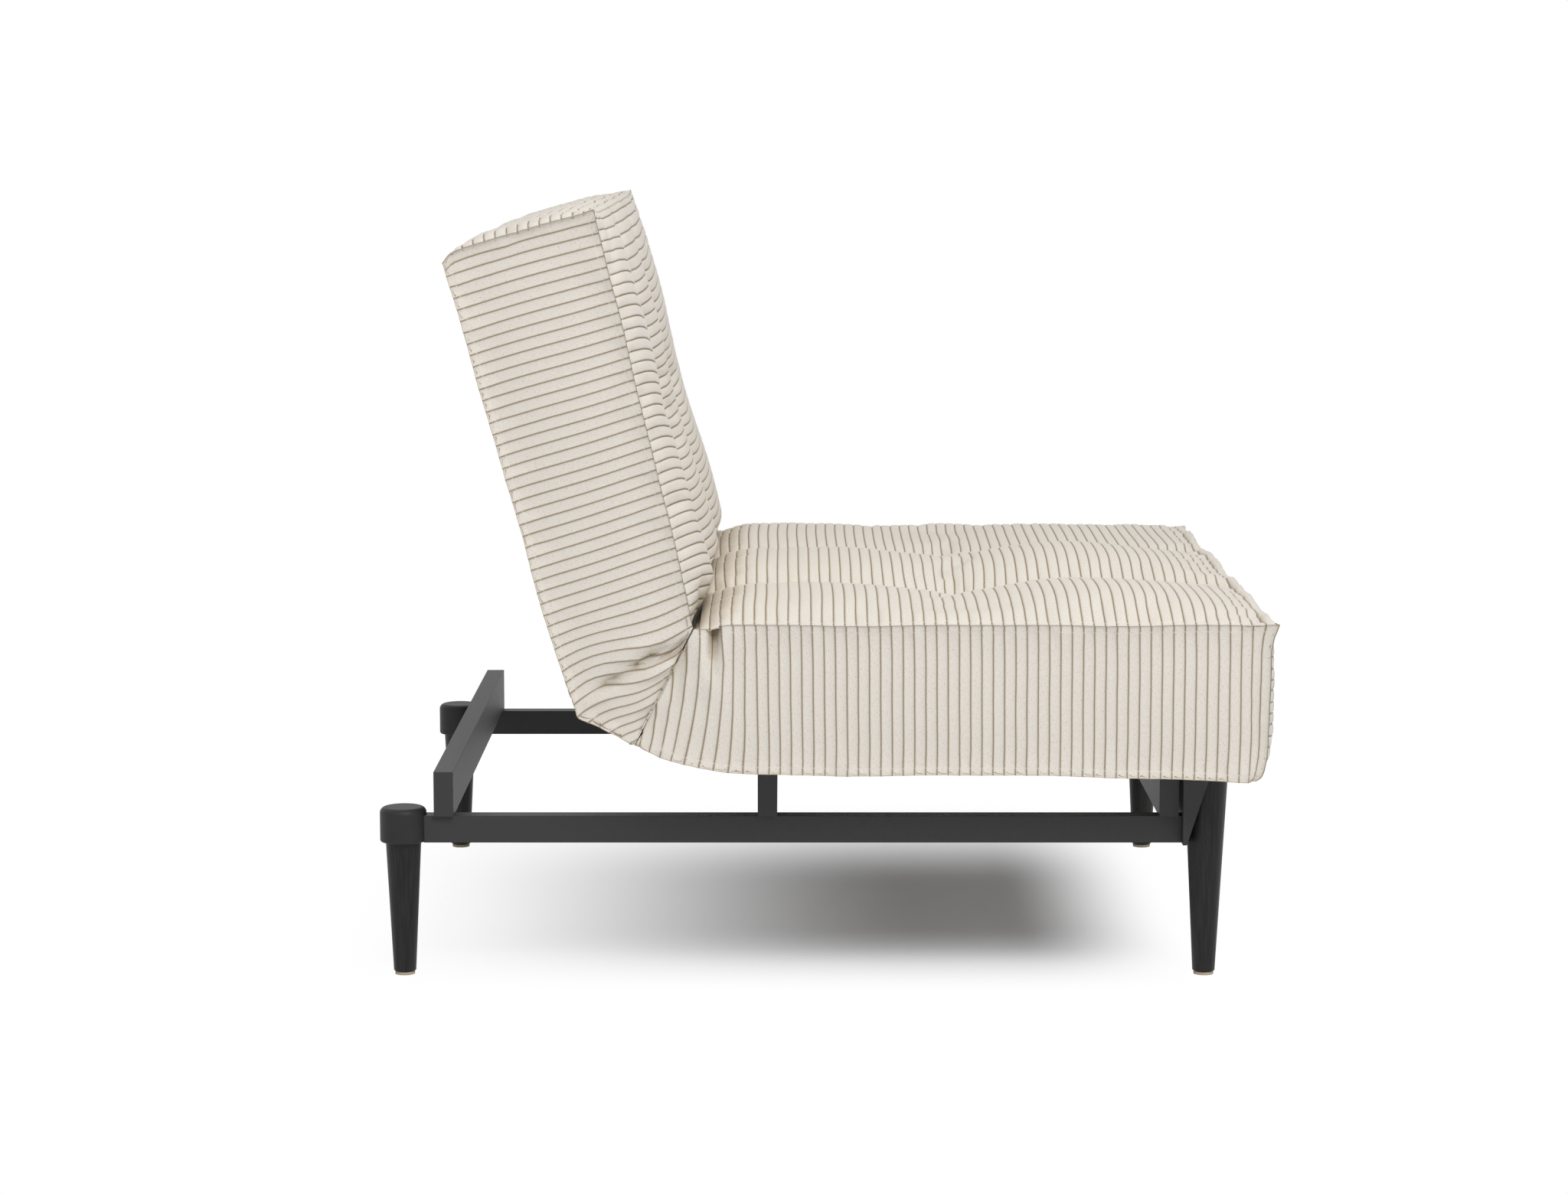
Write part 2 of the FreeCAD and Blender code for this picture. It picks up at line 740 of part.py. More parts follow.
def back_arm(label, side):
    """The hinge arm bolted to the back's frame, which carries the pawl."""
    margin = given("arm_margin")
    reach = -given("hinge_reach")
    low = back_frame_bottom + margin
    high = back_frame_top - margin
    eye = given("hinge_eye_radius")
    boss = given("pawl_boss_radius")
    body = new_body(label)
    plate = new_sketch(body, "XZ_Plane", "plate")
    corners = [
        (eye / 4, eye * EYE_SHARE),
        (pawl_pin[0] - boss, pawl_pin[1] + boss),
        (reach, high),
        (reach - given("arm_grip_length"), high),
        (reach - given("arm_grip_length"), low),
        (reach, low),
        (eye / 4, -eye * EYE_SHARE),
    ]
    pad(body, outline(plate, corners), given("arm_thickness"))
    pad(body, ring(new_sketch(body, "XZ_Plane", "eye"), ZERO, ZERO, eye), given("arm_thickness"))
    arm_holes(body, [(ZERO, ZERO)], given("pivot_diameter") + given("running_clearance") * 2, "pivot_hole")
    arm_holes(body, [pawl_pin], given("pawl_pin_diameter") + clear, "pawl_hole")
    middle = (low + high) / 2
    centres = [(reach - distance, middle) for distance in arm_bolt_distances()]
    arm_holes(body, centres, given("bolt_diameter") + given("bolt_clearance"), "bolt_holes")
    place_on_back(body, 0, back_arm_outside if side > 0 else -back_arm_inside, 0)
    keep(body, label)


def pawl_top_edge():
    """The two ends of the pawl's upper edge, at its boss and at its nose, with the back lying flat."""
    boss = given("pawl_boss_radius") * BOSS_SHARE
    reach = given("ratchet_radius") + given("pawl_gap") + given("pawl_tip_width")
    shoulder = from_pivot(reach, given("pawl_tip_angle") + recline_travel)
    return (pawl_pin[0] - boss, pawl_pin[1] + boss), shoulder


def pawl(label, side):
    """A pawl whose nose rides just over the ratchet's teeth, on a rivet in the back's arm."""
    boss = given("pawl_boss_radius")
    nose_angle = given("pawl_tip_angle") + recline_travel
    nose = from_pivot(given("ratchet_radius") + given("pawl_gap"), nose_angle)
    heel, shoulder = pawl_top_edge()
    body = new_body(label)
    plate = new_sketch(body, "XZ_Plane", "plate")
    corners = [
        (pawl_pin[0] + boss * BOSS_SHARE, pawl_pin[1] - boss * BOSS_SHARE),
        nose,
        shoulder,
        heel,
    ]
    pad(body, outline(plate, corners), given("arm_thickness"))
    round_end = ring(new_sketch(body, "XZ_Plane", "boss"), pawl_pin[0], pawl_pin[1], boss)
    pad(body, round_end, given("arm_thickness"))
    arm_holes(body, [pawl_pin], given("pawl_pin_diameter") + given("running_clearance") * 2, "pin_hole")
    place_on_back(body, 0, arm_outside if side > 0 else -frame_outside, 0)
    keep(body, label)


def rivet(label, diameter, head_diameter, x, z, side):
    """A rivet through both arms' planes, with a head on each end that leaves the hinge gap."""
    head = given("rivet_head")
    inner = frame_outside - given("hinge_gap")
    outer = back_arm_outside + given("hinge_gap")
    length = outer - inner + head * 2
    near = inner - head if side > 0 else -(outer + head)
    shank = place(cylinder(label + "_shank", diameter, length), 0, 0, 0)
    low = cylinder(label + "_low_head", head_diameter, head)
    high = place(cylinder(label + "_high_head", head_diameter, head), 0, 0, length - head)
    keep(crosswise(joined(label, [shank, low, high]), x, near, z), label)


def pawl_spring(label, side):
    """A leaf that presses the pawl's nose towards the teeth, its foot welded to the back's arm."""
    heel, shoulder = pawl_top_edge()
    tip = [heel[i] + (shoulder[i] - heel[i]) * LEAF_SHARE for i in (0, 1)]
    slant = sine(size(45))

    def off(start, out, along=0):
        """A point moved away from the pawl's edge, and along it towards the foot."""
        return start[0] - (size(out) + along) * slant, start[1] + (size(out) - along) * slant

    gap = given("spring_gap")
    over = gap + given("spring_leaf")
    block = given("spring_block")
    corners = [
        off(heel, gap),
        off(tip, gap),
        off(tip, over),
        off(heel, over),
        off(heel, gap + block),
        off(heel, gap + block, block),
        off(heel, gap, block),
    ]
    body = new_body(label)
    plate = outline(new_sketch(body, "XZ_Plane", "plate"), corners)
    pad(body, plate, given("arm_thickness") + given("hinge_gap"))
    place_on_back(body, 0, back_arm_inside if side > 0 else -frame_outside, 0)
    keep(body, label)


def arm_bolts(label, back):
    """The bolts that hold the hinge arms on the outer sides of a frame's tubes."""
    bolts = []
    for side, name in ((1, "left"), (-1, "right")):
        for number, distance in enumerate(arm_bolt_distances()):
            bolt = headed_bolt(f"{label}_{name}_{number}", given("bolt_diameter"), given("bolt_grip"))
            if back:
                middle = (back_frame_bottom + back_frame_top) / 2
                x, z = on_back(-given("hinge_reach") - distance, middle)
                y = back_arm_outside * side
            else:
                x = seat_frame_rear + distance
                z = (frame_bottom + frame_top) / 2
                y = arm_outside * side
            bolts.append(place(bolt, x, y, z, Vector(1, 0, 0), -90 * side))
    keep(group(label, bolts), label)


def hinges():
    for side, name in ((1, "left"), (-1, "right")):
        seat_arm(f"{name}_seat_hinge_arm", side)
        back_arm(f"{name}_back_hinge_arm", side)
        pawl(f"{name}_pawl", side)
        head = given("pivot_head_diameter")
        rivet(f"{name}_hinge_pivot", given("pivot_diameter"), head, pivot_x, pivot_z, side)
        pin_x, pin_z = on_back(*pawl_pin)
        head = given("pawl_pin_head_diameter")
        rivet(f"{name}_pawl_rivet", given("pawl_pin_diameter"), head, pin_x, pin_z, side)
        pawl_spring(f"{name}_pawl_spring", side)
    arm_bolts("seat_hinge_bolts", False)
    arm_bolts("back_hinge_bolts", True)


# Cushions
def value(alias):
    return given(alias).number


def arc(start, middle, end):
    return Part.Arc(start, middle, end).toShape()


def line(start, end):
    return Part.LineSegment(start, end).toShape()


def cushion_section(x, half, bottom, seam, crest, channel):
    """A section across a cushion: flat underside, sides that are drawn in at their seams, and three bands."""
    drawn = half - value("side_bulge")
    middle = (bottom + seam) / 2
    groove = value("channel_spacing") / 2
    outer = (drawn + groove) / 2
    low_left, low_right = Vector(x, drawn, bottom), Vector(x, -drawn, bottom)
    seam_left, seam_right = Vector(x, drawn, seam), Vector(x, -drawn, seam)
    groove_left, groove_right = Vector(x, groove, channel), Vector(x, -groove, channel)
    return Part.Wire([
        line(low_left, low_right),
        arc(low_right, Vector(x, -half, middle), seam_right),
        arc(seam_right, Vector(x, -outer, crest), groove_right),
        arc(groove_right, Vector(x, 0, crest), groove_left),
        arc(groove_left, Vector(x, outer, crest), seam_left),
        arc(seam_left, Vector(x, half, middle), low_left),
    ])


def cushion_loft(stations, end):
    """A cushion through its sections, with a crowned panel on its end."""
    main = Part.makeLoft([cushion_section(*station) for station in stations], True, False)
    crown = Part.makeLoft([cushion_section(*stations[-1]), cushion_section(*end)], True, True)
    return main.fuse(crown)


def prism(points, half):
    """A solid across the chair with this side outline."""
    corners = [Vector(x, -half, z) for x, z in points]
    face = Part.Face(Part.makePolygon(corners + corners[:1]))
    return face.extrude(Vector(0, half * 2, 0))


def polar(radius, angle):
    return radius * math.cos(math.radians(angle)), radius * math.sin(math.radians(angle))


def beyond_fold(contour, angle, far):
    """What a cushion must leave free for the other one: the side of the fold's plane that isn't its own,
    below the rise of its heel, and the round channel along the pivot. Measured from the pivot."""
    across = value("cushion_width")
    side = math.copysign(far, contour[0][0])
    top = polar(far, angle)
    points = contour + [(0, 0), top, (-side, top[1]), (-side, -far), (contour[0][0], -far)]
    channel = Part.makeCylinder(value("fold_radius"), across * 2, Vector(0, -across, 0), Vector(0, 1, 0))
    return [prism(points, across), channel]


def heel_contour():
    """The seat's underside as it rises towards the fold, from the front to where the channel cuts it."""
    heel_x = value("heel_setback")
    heel_z = value("heel_rise") - value("pivot_height")
    slope = math.radians(value("heel_slope_angle"))
    run = value("fold_radius")
    return [
        (heel_x + value("heel_length"), -value("pivot_height")),
        (heel_x, heel_z),
        (heel_x - run * math.cos(slope), heel_z + run * math.sin(slope)),
    ]


def tail_contour():
    """The back's rear face as it draws in towards the fold, with the back lying flat."""
    tail_x = -value("tail_setback")
    tail_z = back_rear.number + value("tail_rise")
    slope = math.radians(value("tail_slope_angle"))
    run = value("fold_radius")
    return [
        (tail_x - value("tail_length"), back_rear.number),
        (tail_x, tail_z),
        (tail_x + run * math.cos(slope), tail_z + run * math.sin(slope)),
    ]


def soft_piece(label, shape, back=False):
    """A piece of cloth or foam that is given from the pivot, as it lies flat."""
    thing = doc.addObject("Part::Feature", label)
    thing.Shape = shape
    if back:
        place_on_back(thing)
    else:
        place(thing, pivot_x, 0, pivot_z)
    keep(thing, label)


def seat_stations():
    """The seat's sections from the fold to its front seam, measured from the pivot."""
    bottom = -value("pivot_height")
    seam = bottom + value("seat_thickness")
    front = (seat_front - pivot_x).number - value("front_crown")
    tuft = (seat_front - given("seat_tuft_setback") - pivot_x).number
    return cushion_stations(bottom, seam, seam, tuft, front, -value("fold_radius"))


def cushion_stations(bottom, low_seam, end_seam, tuft, end, start):
    """Sections along a cushion: its fold end, the crests either side of its tufts, and its end seam."""
    half = value("cushion_width") / 2
    crown = value("band_crown")
    channel = crown - value("channel_drop")
    shoulder = end - math.copysign(value("shoulder"), end)
    stations = []
    for x, rise, groove in (
        (start, crown, channel),
        ((start + tuft) / 2, crown, channel),
        (tuft, crown - value("tuft_valley"), crown - value("tuft_valley") - value("tuft_drop")),
        ((tuft + shoulder) / 2, crown, channel),
        (shoulder, crown * SHOULDER_SHARE, channel * SHOULDER_SHARE),
        (end, crown * SEAM_CREST_SHARE, crown * SEAM_CHANNEL_SHARE),
    ):
        seam = low_seam + (end_seam - low_seam) * (x - start) / (end - start)
        stations.append((x, half, bottom, seam, seam + rise, seam + groove))
    return stations


def end_station(station, outward):
    """A cushion's end panel where it stands out most: smaller than its seam on every side."""
    x, half, bottom, seam, crest, groove = station
    inset = value("end_inset")
    return x + outward, half - inset, bottom + inset, seam - inset, crest - inset, groove - inset


def back_stations():
    """The back's sections from the fold to its top seam, lying flat, measured from the pivot."""
    bottom = back_rear.number
    top = bottom + value("back_top_thickness")
    low = bottom + value("back_low_thickness")
    return cushion_stations(bottom, low, top, -value("back_tuft_distance"), -value("back_length"), 0)


def hollow_points(contour, bottom, top, end, inset):
    """The side outline of a cover's inside, which follows its contour, drawn in by an inset."""
    wall = value("cover_underside") + inset
    away = math.copysign(value("fold_radius") * 2, contour[0][0])
    run_x = contour[2][0] - contour[1][0]
    run_z = contour[2][1] - contour[1][1]
    return [
        (end, bottom + wall),
        (contour[0][0], bottom + wall),
        (contour[1][0], contour[1][1] + wall * SLOPE_WALL_SHARE),
        (contour[1][0] + run_x * 2, contour[1][1] + wall * SLOPE_WALL_SHARE + run_z * 2),
        (contour[1][0] + run_x * 2 - away, top - inset),
        (end, top - inset),
    ]


def cover_and_foam(name, stations, contour, angle, outward, tray, slots, holes, back):
    """A cushion's sewn cover, hollow inside, and the foam that fills it but for the frame's tray."""
    end = stations[-1][0]
    bottom = stations[-1][2]
    tuft_floor = min(station[5] - station[3] for station in stations)
    top = min(station[3] for station in stations) + tuft_floor - value("wadding") + value("tuft_drop")
    far = value("cushion_width")
    wall_end = end - math.copysign(value("cover_wall"), end)
    inside = value("cushion_width") / 2 - value("side_bulge") - value("cover_wall")
    fold = beyond_fold(contour, angle, far)
    hollow = prism(hollow_points(contour, bottom, top, wall_end, 0), inside)
    skin = cushion_loft(stations, end_station(stations[-1], outward))
    soft_piece(f"{name}_cover", skin.cut(fold + [hollow] + holes), back)
    gap = value("foam_clearance")
    foam_end = wall_end - math.copysign(gap, end)
    filling = prism(hollow_points(contour, bottom, top, foam_end, gap), inside - gap)
    soft_piece(f"{name}_foam", filling.cut(fold + [tray] + slots), back)


def corner_box(x0, x1, y0, y1, z0, z1):
    low = Vector(min(x0, x1), min(y0, y1), min(z0, z1))
    return Part.makeBox(abs(x1 - x0), abs(y1 - y0), abs(z1 - z0), low)


def hinge_slots(x0, x1, z0, z1):
    """Room in the foam on both sides for a hinge, its rivets and its pawl."""
    room = value("hinge_room")
    inner = (back_frame_half - given("frame_tube_width") / 2).number - room
    outer = (back_arm_outside + given("rivet_head") + given("bolt_head_height")).number + room
    return [corner_box(x0, x1, side * inner, side * outer, z0, z1) for side in (1, -1)]


def seat_cushion():
    loose = value("tray_clearance")
    reach = (frame_half + given("slat_overhang")).number + loose
    front = (seat_frame_front - pivot_x).number + loose
    ceiling = (frame_top + given("slat_thickness") - pivot_z).number + value("foam_clearance")
    far = -value("fold_radius") * 3
    tray = corner_box(far, front, -reach, reach, -value("cushion_width"), ceiling)
    slot_top = value("hinge_eye_radius") + value("hinge_room")
    slots = hinge_slots(far, value("hinge_reach") + value("hinge_room"), -value("cushion_width"), slot_top)
    floor = -value("pivot_height")
    holes = []
    for x in (middle_beam_x, front_beam_x):
        for y in (frame_half.number, -frame_half.number):
            radius = value("spacer_diameter") / 2 + value("foam_clearance")
            start = Vector((x - pivot_x).number, y, floor - value("frame_lift"))
            holes.append(Part.makeCylinder(radius, value("frame_lift") * 3, start))
    angle = value("fold_angle") - value("fold_wedge_angle") / 2
    stations = seat_stations()
    cover_and_foam("seat", stations, heel_contour(), angle, value("front_crown"), tray, slots, holes, False)


def back_cushion():
    loose = value("tray_clearance")
    reach = (back_frame_half + given("slat_overhang")).number + loose
    ceiling = (back_frame_top + given("slat_thickness")).number + value("foam_clearance")
    far = value("fold_radius") * 3
    tray = corner_box(far, back_frame_far.number - loose, -reach, reach, -value("cushion_width"), ceiling)
    slot_top = value("ratchet_radius") + value("hinge_room") * 2
    slot_end = -(value("hinge_reach") + value("hinge_room"))
    slots = hinge_slots(far, slot_end, -value("cushion_width"), slot_top)
    angle = value("fold_angle") + value("fold_wedge_angle") / 2 + recline_travel.number
    stations = back_stations()
    cover_and_foam("back", stations, tail_contour(), angle, -value("top_crown"), tray, slots, [], True)


def channel_angle(contour):
    """The angle about the pivot at which a cushion's contour meets the fold's channel."""
    (x0, z0), (x1, z1) = contour[1:]
    length = math.hypot(x1 - x0, z1 - z0)
    run_x, run_z = (x1 - x0) / length, (z1 - z0) / length
    ahead = -(x0 * run_x + z0 * run_z)
    aside = math.hypot(x0 + ahead * run_x, z0 + ahead * run_z)
    reach = ahead - math.sqrt(value("fold_radius") ** 2 - aside ** 2)
    return math.degrees(math.atan2(z0 + reach * run_z, x0 + reach * run_x))


def point(radius, angle, y=0):
    x, z = polar(radius, angle)
    return Vector(x, y, z)


def fold_gusset():
    """The cloth that joins the covers round the outside of the fold, closed at both sides of the chair."""
    half = value("cushion_width") / 2 - value("side_bulge")
    cloth = value("gusset_cloth")
    depth = value("gusset_depth")
    radius = value("fold_radius") - value("foam_clearance")
    seat_angle = channel_angle(heel_contour())
    back_angle = channel_angle(tail_contour()) - recline_travel.number + 360
    corner_angle = (seat_angle + 360 + back_angle) / 2
    turn = math.degrees(cloth / radius)
    strip = prism([
        polar(radius, seat_angle),
        polar(depth, corner_angle),
        polar(radius, back_angle),
        polar(radius, back_angle - turn),
        polar(depth - cloth, corner_angle),
        polar(radius, seat_angle + turn),
    ], half)
    pieces = []
    upper = corner_angle - 180
    for y in (-half, half - cloth):
        corner = point(depth, corner_angle, y)
        seat_edge, back_edge = point(radius, seat_angle, y), point(radius, back_angle, y)
        crown = point(radius, upper, y)
        rim = Part.Wire([
            line(seat_edge, corner),
            line(corner, back_edge),
            arc(back_edge, point(radius, (back_angle + upper) / 2, y), crown),
            arc(crown, point(radius, (upper + seat_angle) / 2, y), seat_edge),
        ])
        pieces.append(Part.Face(rim).extrude(Vector(0, cloth, 0)))
    soft_piece("fold_gusset", strip.fuse(pieces).removeSplitter())


def crease_gusset():
    """The cloth tucked into the crease between the seat and the back."""
    half = value("cushion_width") / 2 - value("side_bulge")
    cloth = value("gusset_cloth")
    floor = value("crease_floor")
    rim = value("crease_rim")
    middle = value("fold_angle")
    outer = value("fold_wedge_angle") / 2 - math.degrees(value("foam_clearance") / floor)
    inner = outer - math.degrees(cloth / rim)
    tuck = [
        polar(rim, middle - outer),
        polar(rim, middle - inner),
        polar(floor + cloth, middle),
        polar(rim, middle + inner),
        polar(rim, middle + outer),
        polar(floor, middle),
    ]
    soft_piece("crease_gusset", prism(tuck, half))


underframe()
frames()
hinges()
seat_cushion()
back_cushion()
fold_gusset()
crease_gusset()
doc.recompute()

# Every object must be sound before anything is written
for thing in doc.Objects:
    if "Invalid" in thing.State or "Error" in thing.State:
        raise RuntimeError(f"{thing.Label} failed: {thing.State}")
for thing in nodes:
    if thing.Shape.isNull() or not thing.Shape.isValid() or thing.Shape.Volume <= 0:
        raise RuntimeError(f"{thing.Label} has no sound solid")
for thing in nodes:
    thing.Shape.exportStep(f"parts/{thing.Label}.step")
    print(f"{thing.Label}: {len(thing.Shape.Solids)} solids, {thing.Shape.Volume / 1000:.1f} cm3")
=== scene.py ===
import json
import math

import bpy
import numpy as np
from mathutils import Euler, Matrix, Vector


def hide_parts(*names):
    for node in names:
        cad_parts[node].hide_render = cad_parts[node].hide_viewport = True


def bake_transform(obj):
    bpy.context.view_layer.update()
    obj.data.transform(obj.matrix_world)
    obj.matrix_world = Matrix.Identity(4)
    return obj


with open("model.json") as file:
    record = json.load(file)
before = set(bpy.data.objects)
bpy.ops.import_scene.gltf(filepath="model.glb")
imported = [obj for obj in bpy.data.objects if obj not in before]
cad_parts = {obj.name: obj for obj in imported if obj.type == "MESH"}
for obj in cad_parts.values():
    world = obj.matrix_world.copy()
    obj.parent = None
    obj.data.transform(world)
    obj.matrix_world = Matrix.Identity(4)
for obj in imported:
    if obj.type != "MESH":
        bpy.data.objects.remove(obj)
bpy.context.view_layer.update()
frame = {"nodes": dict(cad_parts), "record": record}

# An armless recliner in corded cloth. Shapes are worked out in millimetres and go into Blender in metres.
# A place in the side view is x and z, and y runs across the chair towards the sitter's left.
MM = 0.001
PIVOT = np.array([-185.0, 275.0])
CORD = 11.3
HALF = 445.0
CHANNEL = 150.0

# The fold between seat and back: the mitre's direction, and half the width over which the cloth turns
FOLD_ANGLE = math.radians(63)
FOLD_ALONG = np.array([math.cos(FOLD_ANGLE), math.sin(FOLD_ANGLE)])
FOLD_ACROSS = np.array([-math.sin(FOLD_ANGLE), math.cos(FOLD_ANGLE)])
FOLD_HALF = 0.7
FOLD_SHIFT = -5.0
MITRE_TOP = 113.5
MITRE_LOW = -17.5

# The crease along the fold: its floor, the wall above it and its rim, where the cushions' noses begin
CREASE_FLOOR = 90.0
CREASE_WALL = 100.0
CREASE_RIM = 108.0
RIM_HALF = 1.2
CALM_BELOW = 4.0
CALM_ABOVE = 8.0

# The padded bands from the sitter's right to their left: each crest's height over the side seams, at the
# crease and at the far edge, and the level of the channels between them
SEAT_CRESTS = ((9.5, 26), (13, 31), (7.5, 8))
BACK_CRESTS = ((17.5, 11), (17.5, 10), (17.5, 7))
CHANNEL_LEVEL = -2.0
BAND_POWER = 2.4

# The tufts: how far they pull the cloth in and gather its cords, and how far they reach
TUFT_PULL = 9.0
TUFT_GATHER = 10.0
TUFT_ACROSS = 46.0
TUFT_ALONG = 50.0
TUFT_VALLEY = 80.0

# The crowns: the trough beside the crease, and how far from seams and edges they are full
TROUGH_SINK = 4.0
TROUGH_BACK = 8.0
TROUGH_WIDTH = 11.0
SEAM_REACH = 70.0
DROOP_REACH = 260.0
DROOP_END = 55.0
FAR_POWER = 1.7
END_ACROSS_POWER = 4
END_ALONG_POWER = 2.5

# The sides: their bulge, how long a cord has to be and how far from the end panel to have all of it, how many
# cords bend to follow the end panel, how loosely the mitre's edge is drawn in, and the step between columns
SIDE_WIDTH = 150.0
SIDE_BULGE = 4.5
SIDE_POWER = 2.6
BULGE_LENGTH = 130.0
BULGE_END = 45.0
FOLLOWING_CORDS = 2.5
MITRE_LOOSE = 1.3
SIDE_STEP = 12.0

# Side panels: how many cords to the crease, and to the end of the mitre
SEAT_CORDS = (51.6, 55.4)
BACK_CORDS = (37.3, 46.4)

# The seat's side cords stand upright up to this one, which meets the lower edge a little short of its full
# place. The cords after it lean, and the one at the crease meets the lower edge this far along
UPRIGHT_CORDS = 46
UPRIGHT_SHORT = 4
LEAN_PLACE = 600

# Side cords that swing near the crease: how far, which cord, how many beside it, and in how many bows
SEAT_SWING = (4.5, 50.5, 3, 1)
BACK_SWING = (6.0, 38.5, 4, 2)

# The valley of a side along the mitre: its depth and width, and where it starts, is full, and fades out
VALLEY_DEPTH = 3.5
VALLEY_WIDTH = 9.0
VALLEY_FULL = 15.0
VALLEY_FADES = 75.0
VALLEY_END = 105.0

# The tuck of the seat's side under the crease: depth, width, its place at the seam, its lean, and the heights
# between which it deepens
TUCK_DEPTH = 18.0
TUCK_WIDTH = 4.5
TUCK_X = -107.0
TUCK_LEAN = 0.1
TUCK_LOW = 318.0
TUCK_HIGH = 370.0

# The drag lines of the back's side: place, lean, reach along and across, and height
DRAGS = (
    (-212, 322, 0.6, 18, 4, -10.0),
    (-178, 343, 0.65, 21, 3.5, -13.0),
    (-152, 352, 0.7, 16, 3.5, -11.0),
    (-190, 352, 0.5, 24, 7, 4.4),
    (-165, 330, 0.5, 18, 6, 4.6),
    (-225, 305, 0.4, 18, 6, 3.4),
)

# The cloth folded in at the mitre and at the bottom of the crease
PLEAT_INSET = 0.3
PLEAT_DEPTH = 0.4
PLEAT_DEEPENS = 0.012
PLEAT_COLUMNS = 33
GUSSET_CORDS = 10
GUSSET_SINK = 14.0
GUSSET_COLUMNS = 46
NO_SEAM = 99.0

# Uneven sewing: how far cloth wanders, and how near the side seams a flat panel does so with its neighbours
WANDER = 0.45
WANDER_REACH = 60.0

# Corner points: place, how far each stands out, and reach. Dips of a seam between them: place, depth and
# reach, and how far from the side seams a dip is full
EARS = (
    ((453, 446, 379), (3.5, 3, 1.5), 15),
    ((-225, 446, 790.5), (0, 2, 1), 13),
    ((-243, 446, 287), (-2, 0, -2), 7),
)
DIPS = (((-225, 790.5), 4, 40),)
DIP_REACH = 120.0

# Settling: spacing of the cloth's places, steps, the furthest that one moves, spare cloth, and how firmly the
# stuffing holds it
COARSE = 10.0
SETTLE_STEPS = 16
SETTLE_CAP = 6.0
SETTLE_SLACK = -0.012
SETTLE_HOLD = 0.02

# One cord, from groove to groove: where its rows lie, how far they are below its crest, and how dark they are
# painted, partly the grooves' own tone and partly painted shade
CORD_PHASES = np.array([0.0, 0.04, 0.09, 0.2, 0.5, 0.8, 0.91, 0.96])
CORD_DEPTHS = np.array([1.5, 1.15, 0.5, 0.14, 0.0, 0.14, 0.5, 1.15])
CORD_SHADES = np.array([1.0, 0.72, 0.08, 0.0, 0.0, 0.0, 0.08, 0.72])
ROW_CLEAR = 0.2

# Sewn edges: the radius over which cloth turns into a seam, how dark the seam is, the line of stitches beside
# it, how wide both lines are, and how much the stitches flatten the cords and pale their grooves
SEAM_ROUND = 1.8
SEAM_SHADE = 0.7
STITCH_LINE = 7.0
LINE_WIDTH = 0.45
STITCH_FLATTENS = 0.75
STITCH_PALES = 0.85

# The plain lip along the seat's front edge: its width, the share of it that it starts over, where it fades at
# the corners, and the waves of its height, each with a share, a wavelength and a phase
LIP_WIDTH = 11.0
LIP_STEP = 0.12
LIP_CORNER = (3, 30)
LIP_WAVES = ((0.4, 41, 0), (0.3, 23, 1))

# Places across a panel beside its sewn edges and its channels, and how clear of them the others stay
EDGE_COLUMNS = np.array([0, 0.25, 0.6, 1.2, 2.0, 5.6, 6.4, 7.0, 7.6, 8.4])
CHANNEL_COLUMNS = np.array([-7, -3, 0, 3, 7])
COLUMN_CLEAR = 2


def smooth(low, high, x):
    """0 up to low, 1 from high on, and a smooth step between."""
    t = np.clip((x - low) / (high - low), 0, 1)
    return t * t * (3 - 2 * t)


def near(x, centre, width):
    """1 at a centre, falling to 0 as a bell of that width."""
    return np.exp(-((x - centre) / width) ** 2)


class Path:
    """A line through points in the side view, smooth or straight between them, measured along its length."""

    def __init__(self, points, straight=False):
        points = np.array(points, float)
        self.points = points if straight else self.rounded(points)
        steps = np.linalg.norm(np.diff(self.points, axis=0), axis=1)
        self.lengths = np.concatenate([[0], np.cumsum(steps)])
        self.length = self.lengths[-1]

    @staticmethod
    def rounded(points, steps=24):
        """A curve through every point, with the slope of its neighbours."""
        padded = np.vstack([2 * points[0] - points[1], points, 2 * points[-1] - points[-2]])
        knots = np.concatenate([[0], np.cumsum(np.linalg.norm(np.diff(padded, axis=0), axis=1) ** 0.5)])
        out = []
        for i in range(1, len(padded) - 2):
            t = np.linspace(knots[i], knots[i + 1], steps, endpoint=False)[:, None]
            p, k = padded[i - 1:i + 3], knots[i - 1:i + 3]
            a = [((k[j + 1] - t) * p[j] + (t - k[j]) * p[j + 1]) / (k[j + 1] - k[j]) for j in range(3)]
            b = [((k[j + 2] - t) * a[j] + (t - k[j]) * a[j + 1]) / (k[j + 2] - k[j]) for j in range(2)]
            out.append(((k[2] - t) * b[0] + (t - k[1]) * b[1]) / (k[2] - k[1]))
        return np.vstack(out + [points[-1:]])

    def at(self, s):
        s = np.clip(s, 0, self.length)
        return np.stack([np.interp(s, self.lengths, self.points[:, i]) for i in (0, 1)], -1)


def on_fold(along, across):
    """Places in the side view by their distance along the fold's mitre and across it, from the pivot."""
    return PIVOT + np.multiply.outer(along, FOLD_ALONG) + np.multiply.outer(across + FOLD_SHIFT, FOLD_ACROSS)


def across_chair(line, cols):
    """A grid of places that carries a line of the side view across the chair."""
    places = np.empty((len(line), len(cols), 3))
    places[..., 0] = line[:, None, 0]
    places[..., 1] = cols[None, :]
    places[..., 2] = line[:, None, 1]
    return places


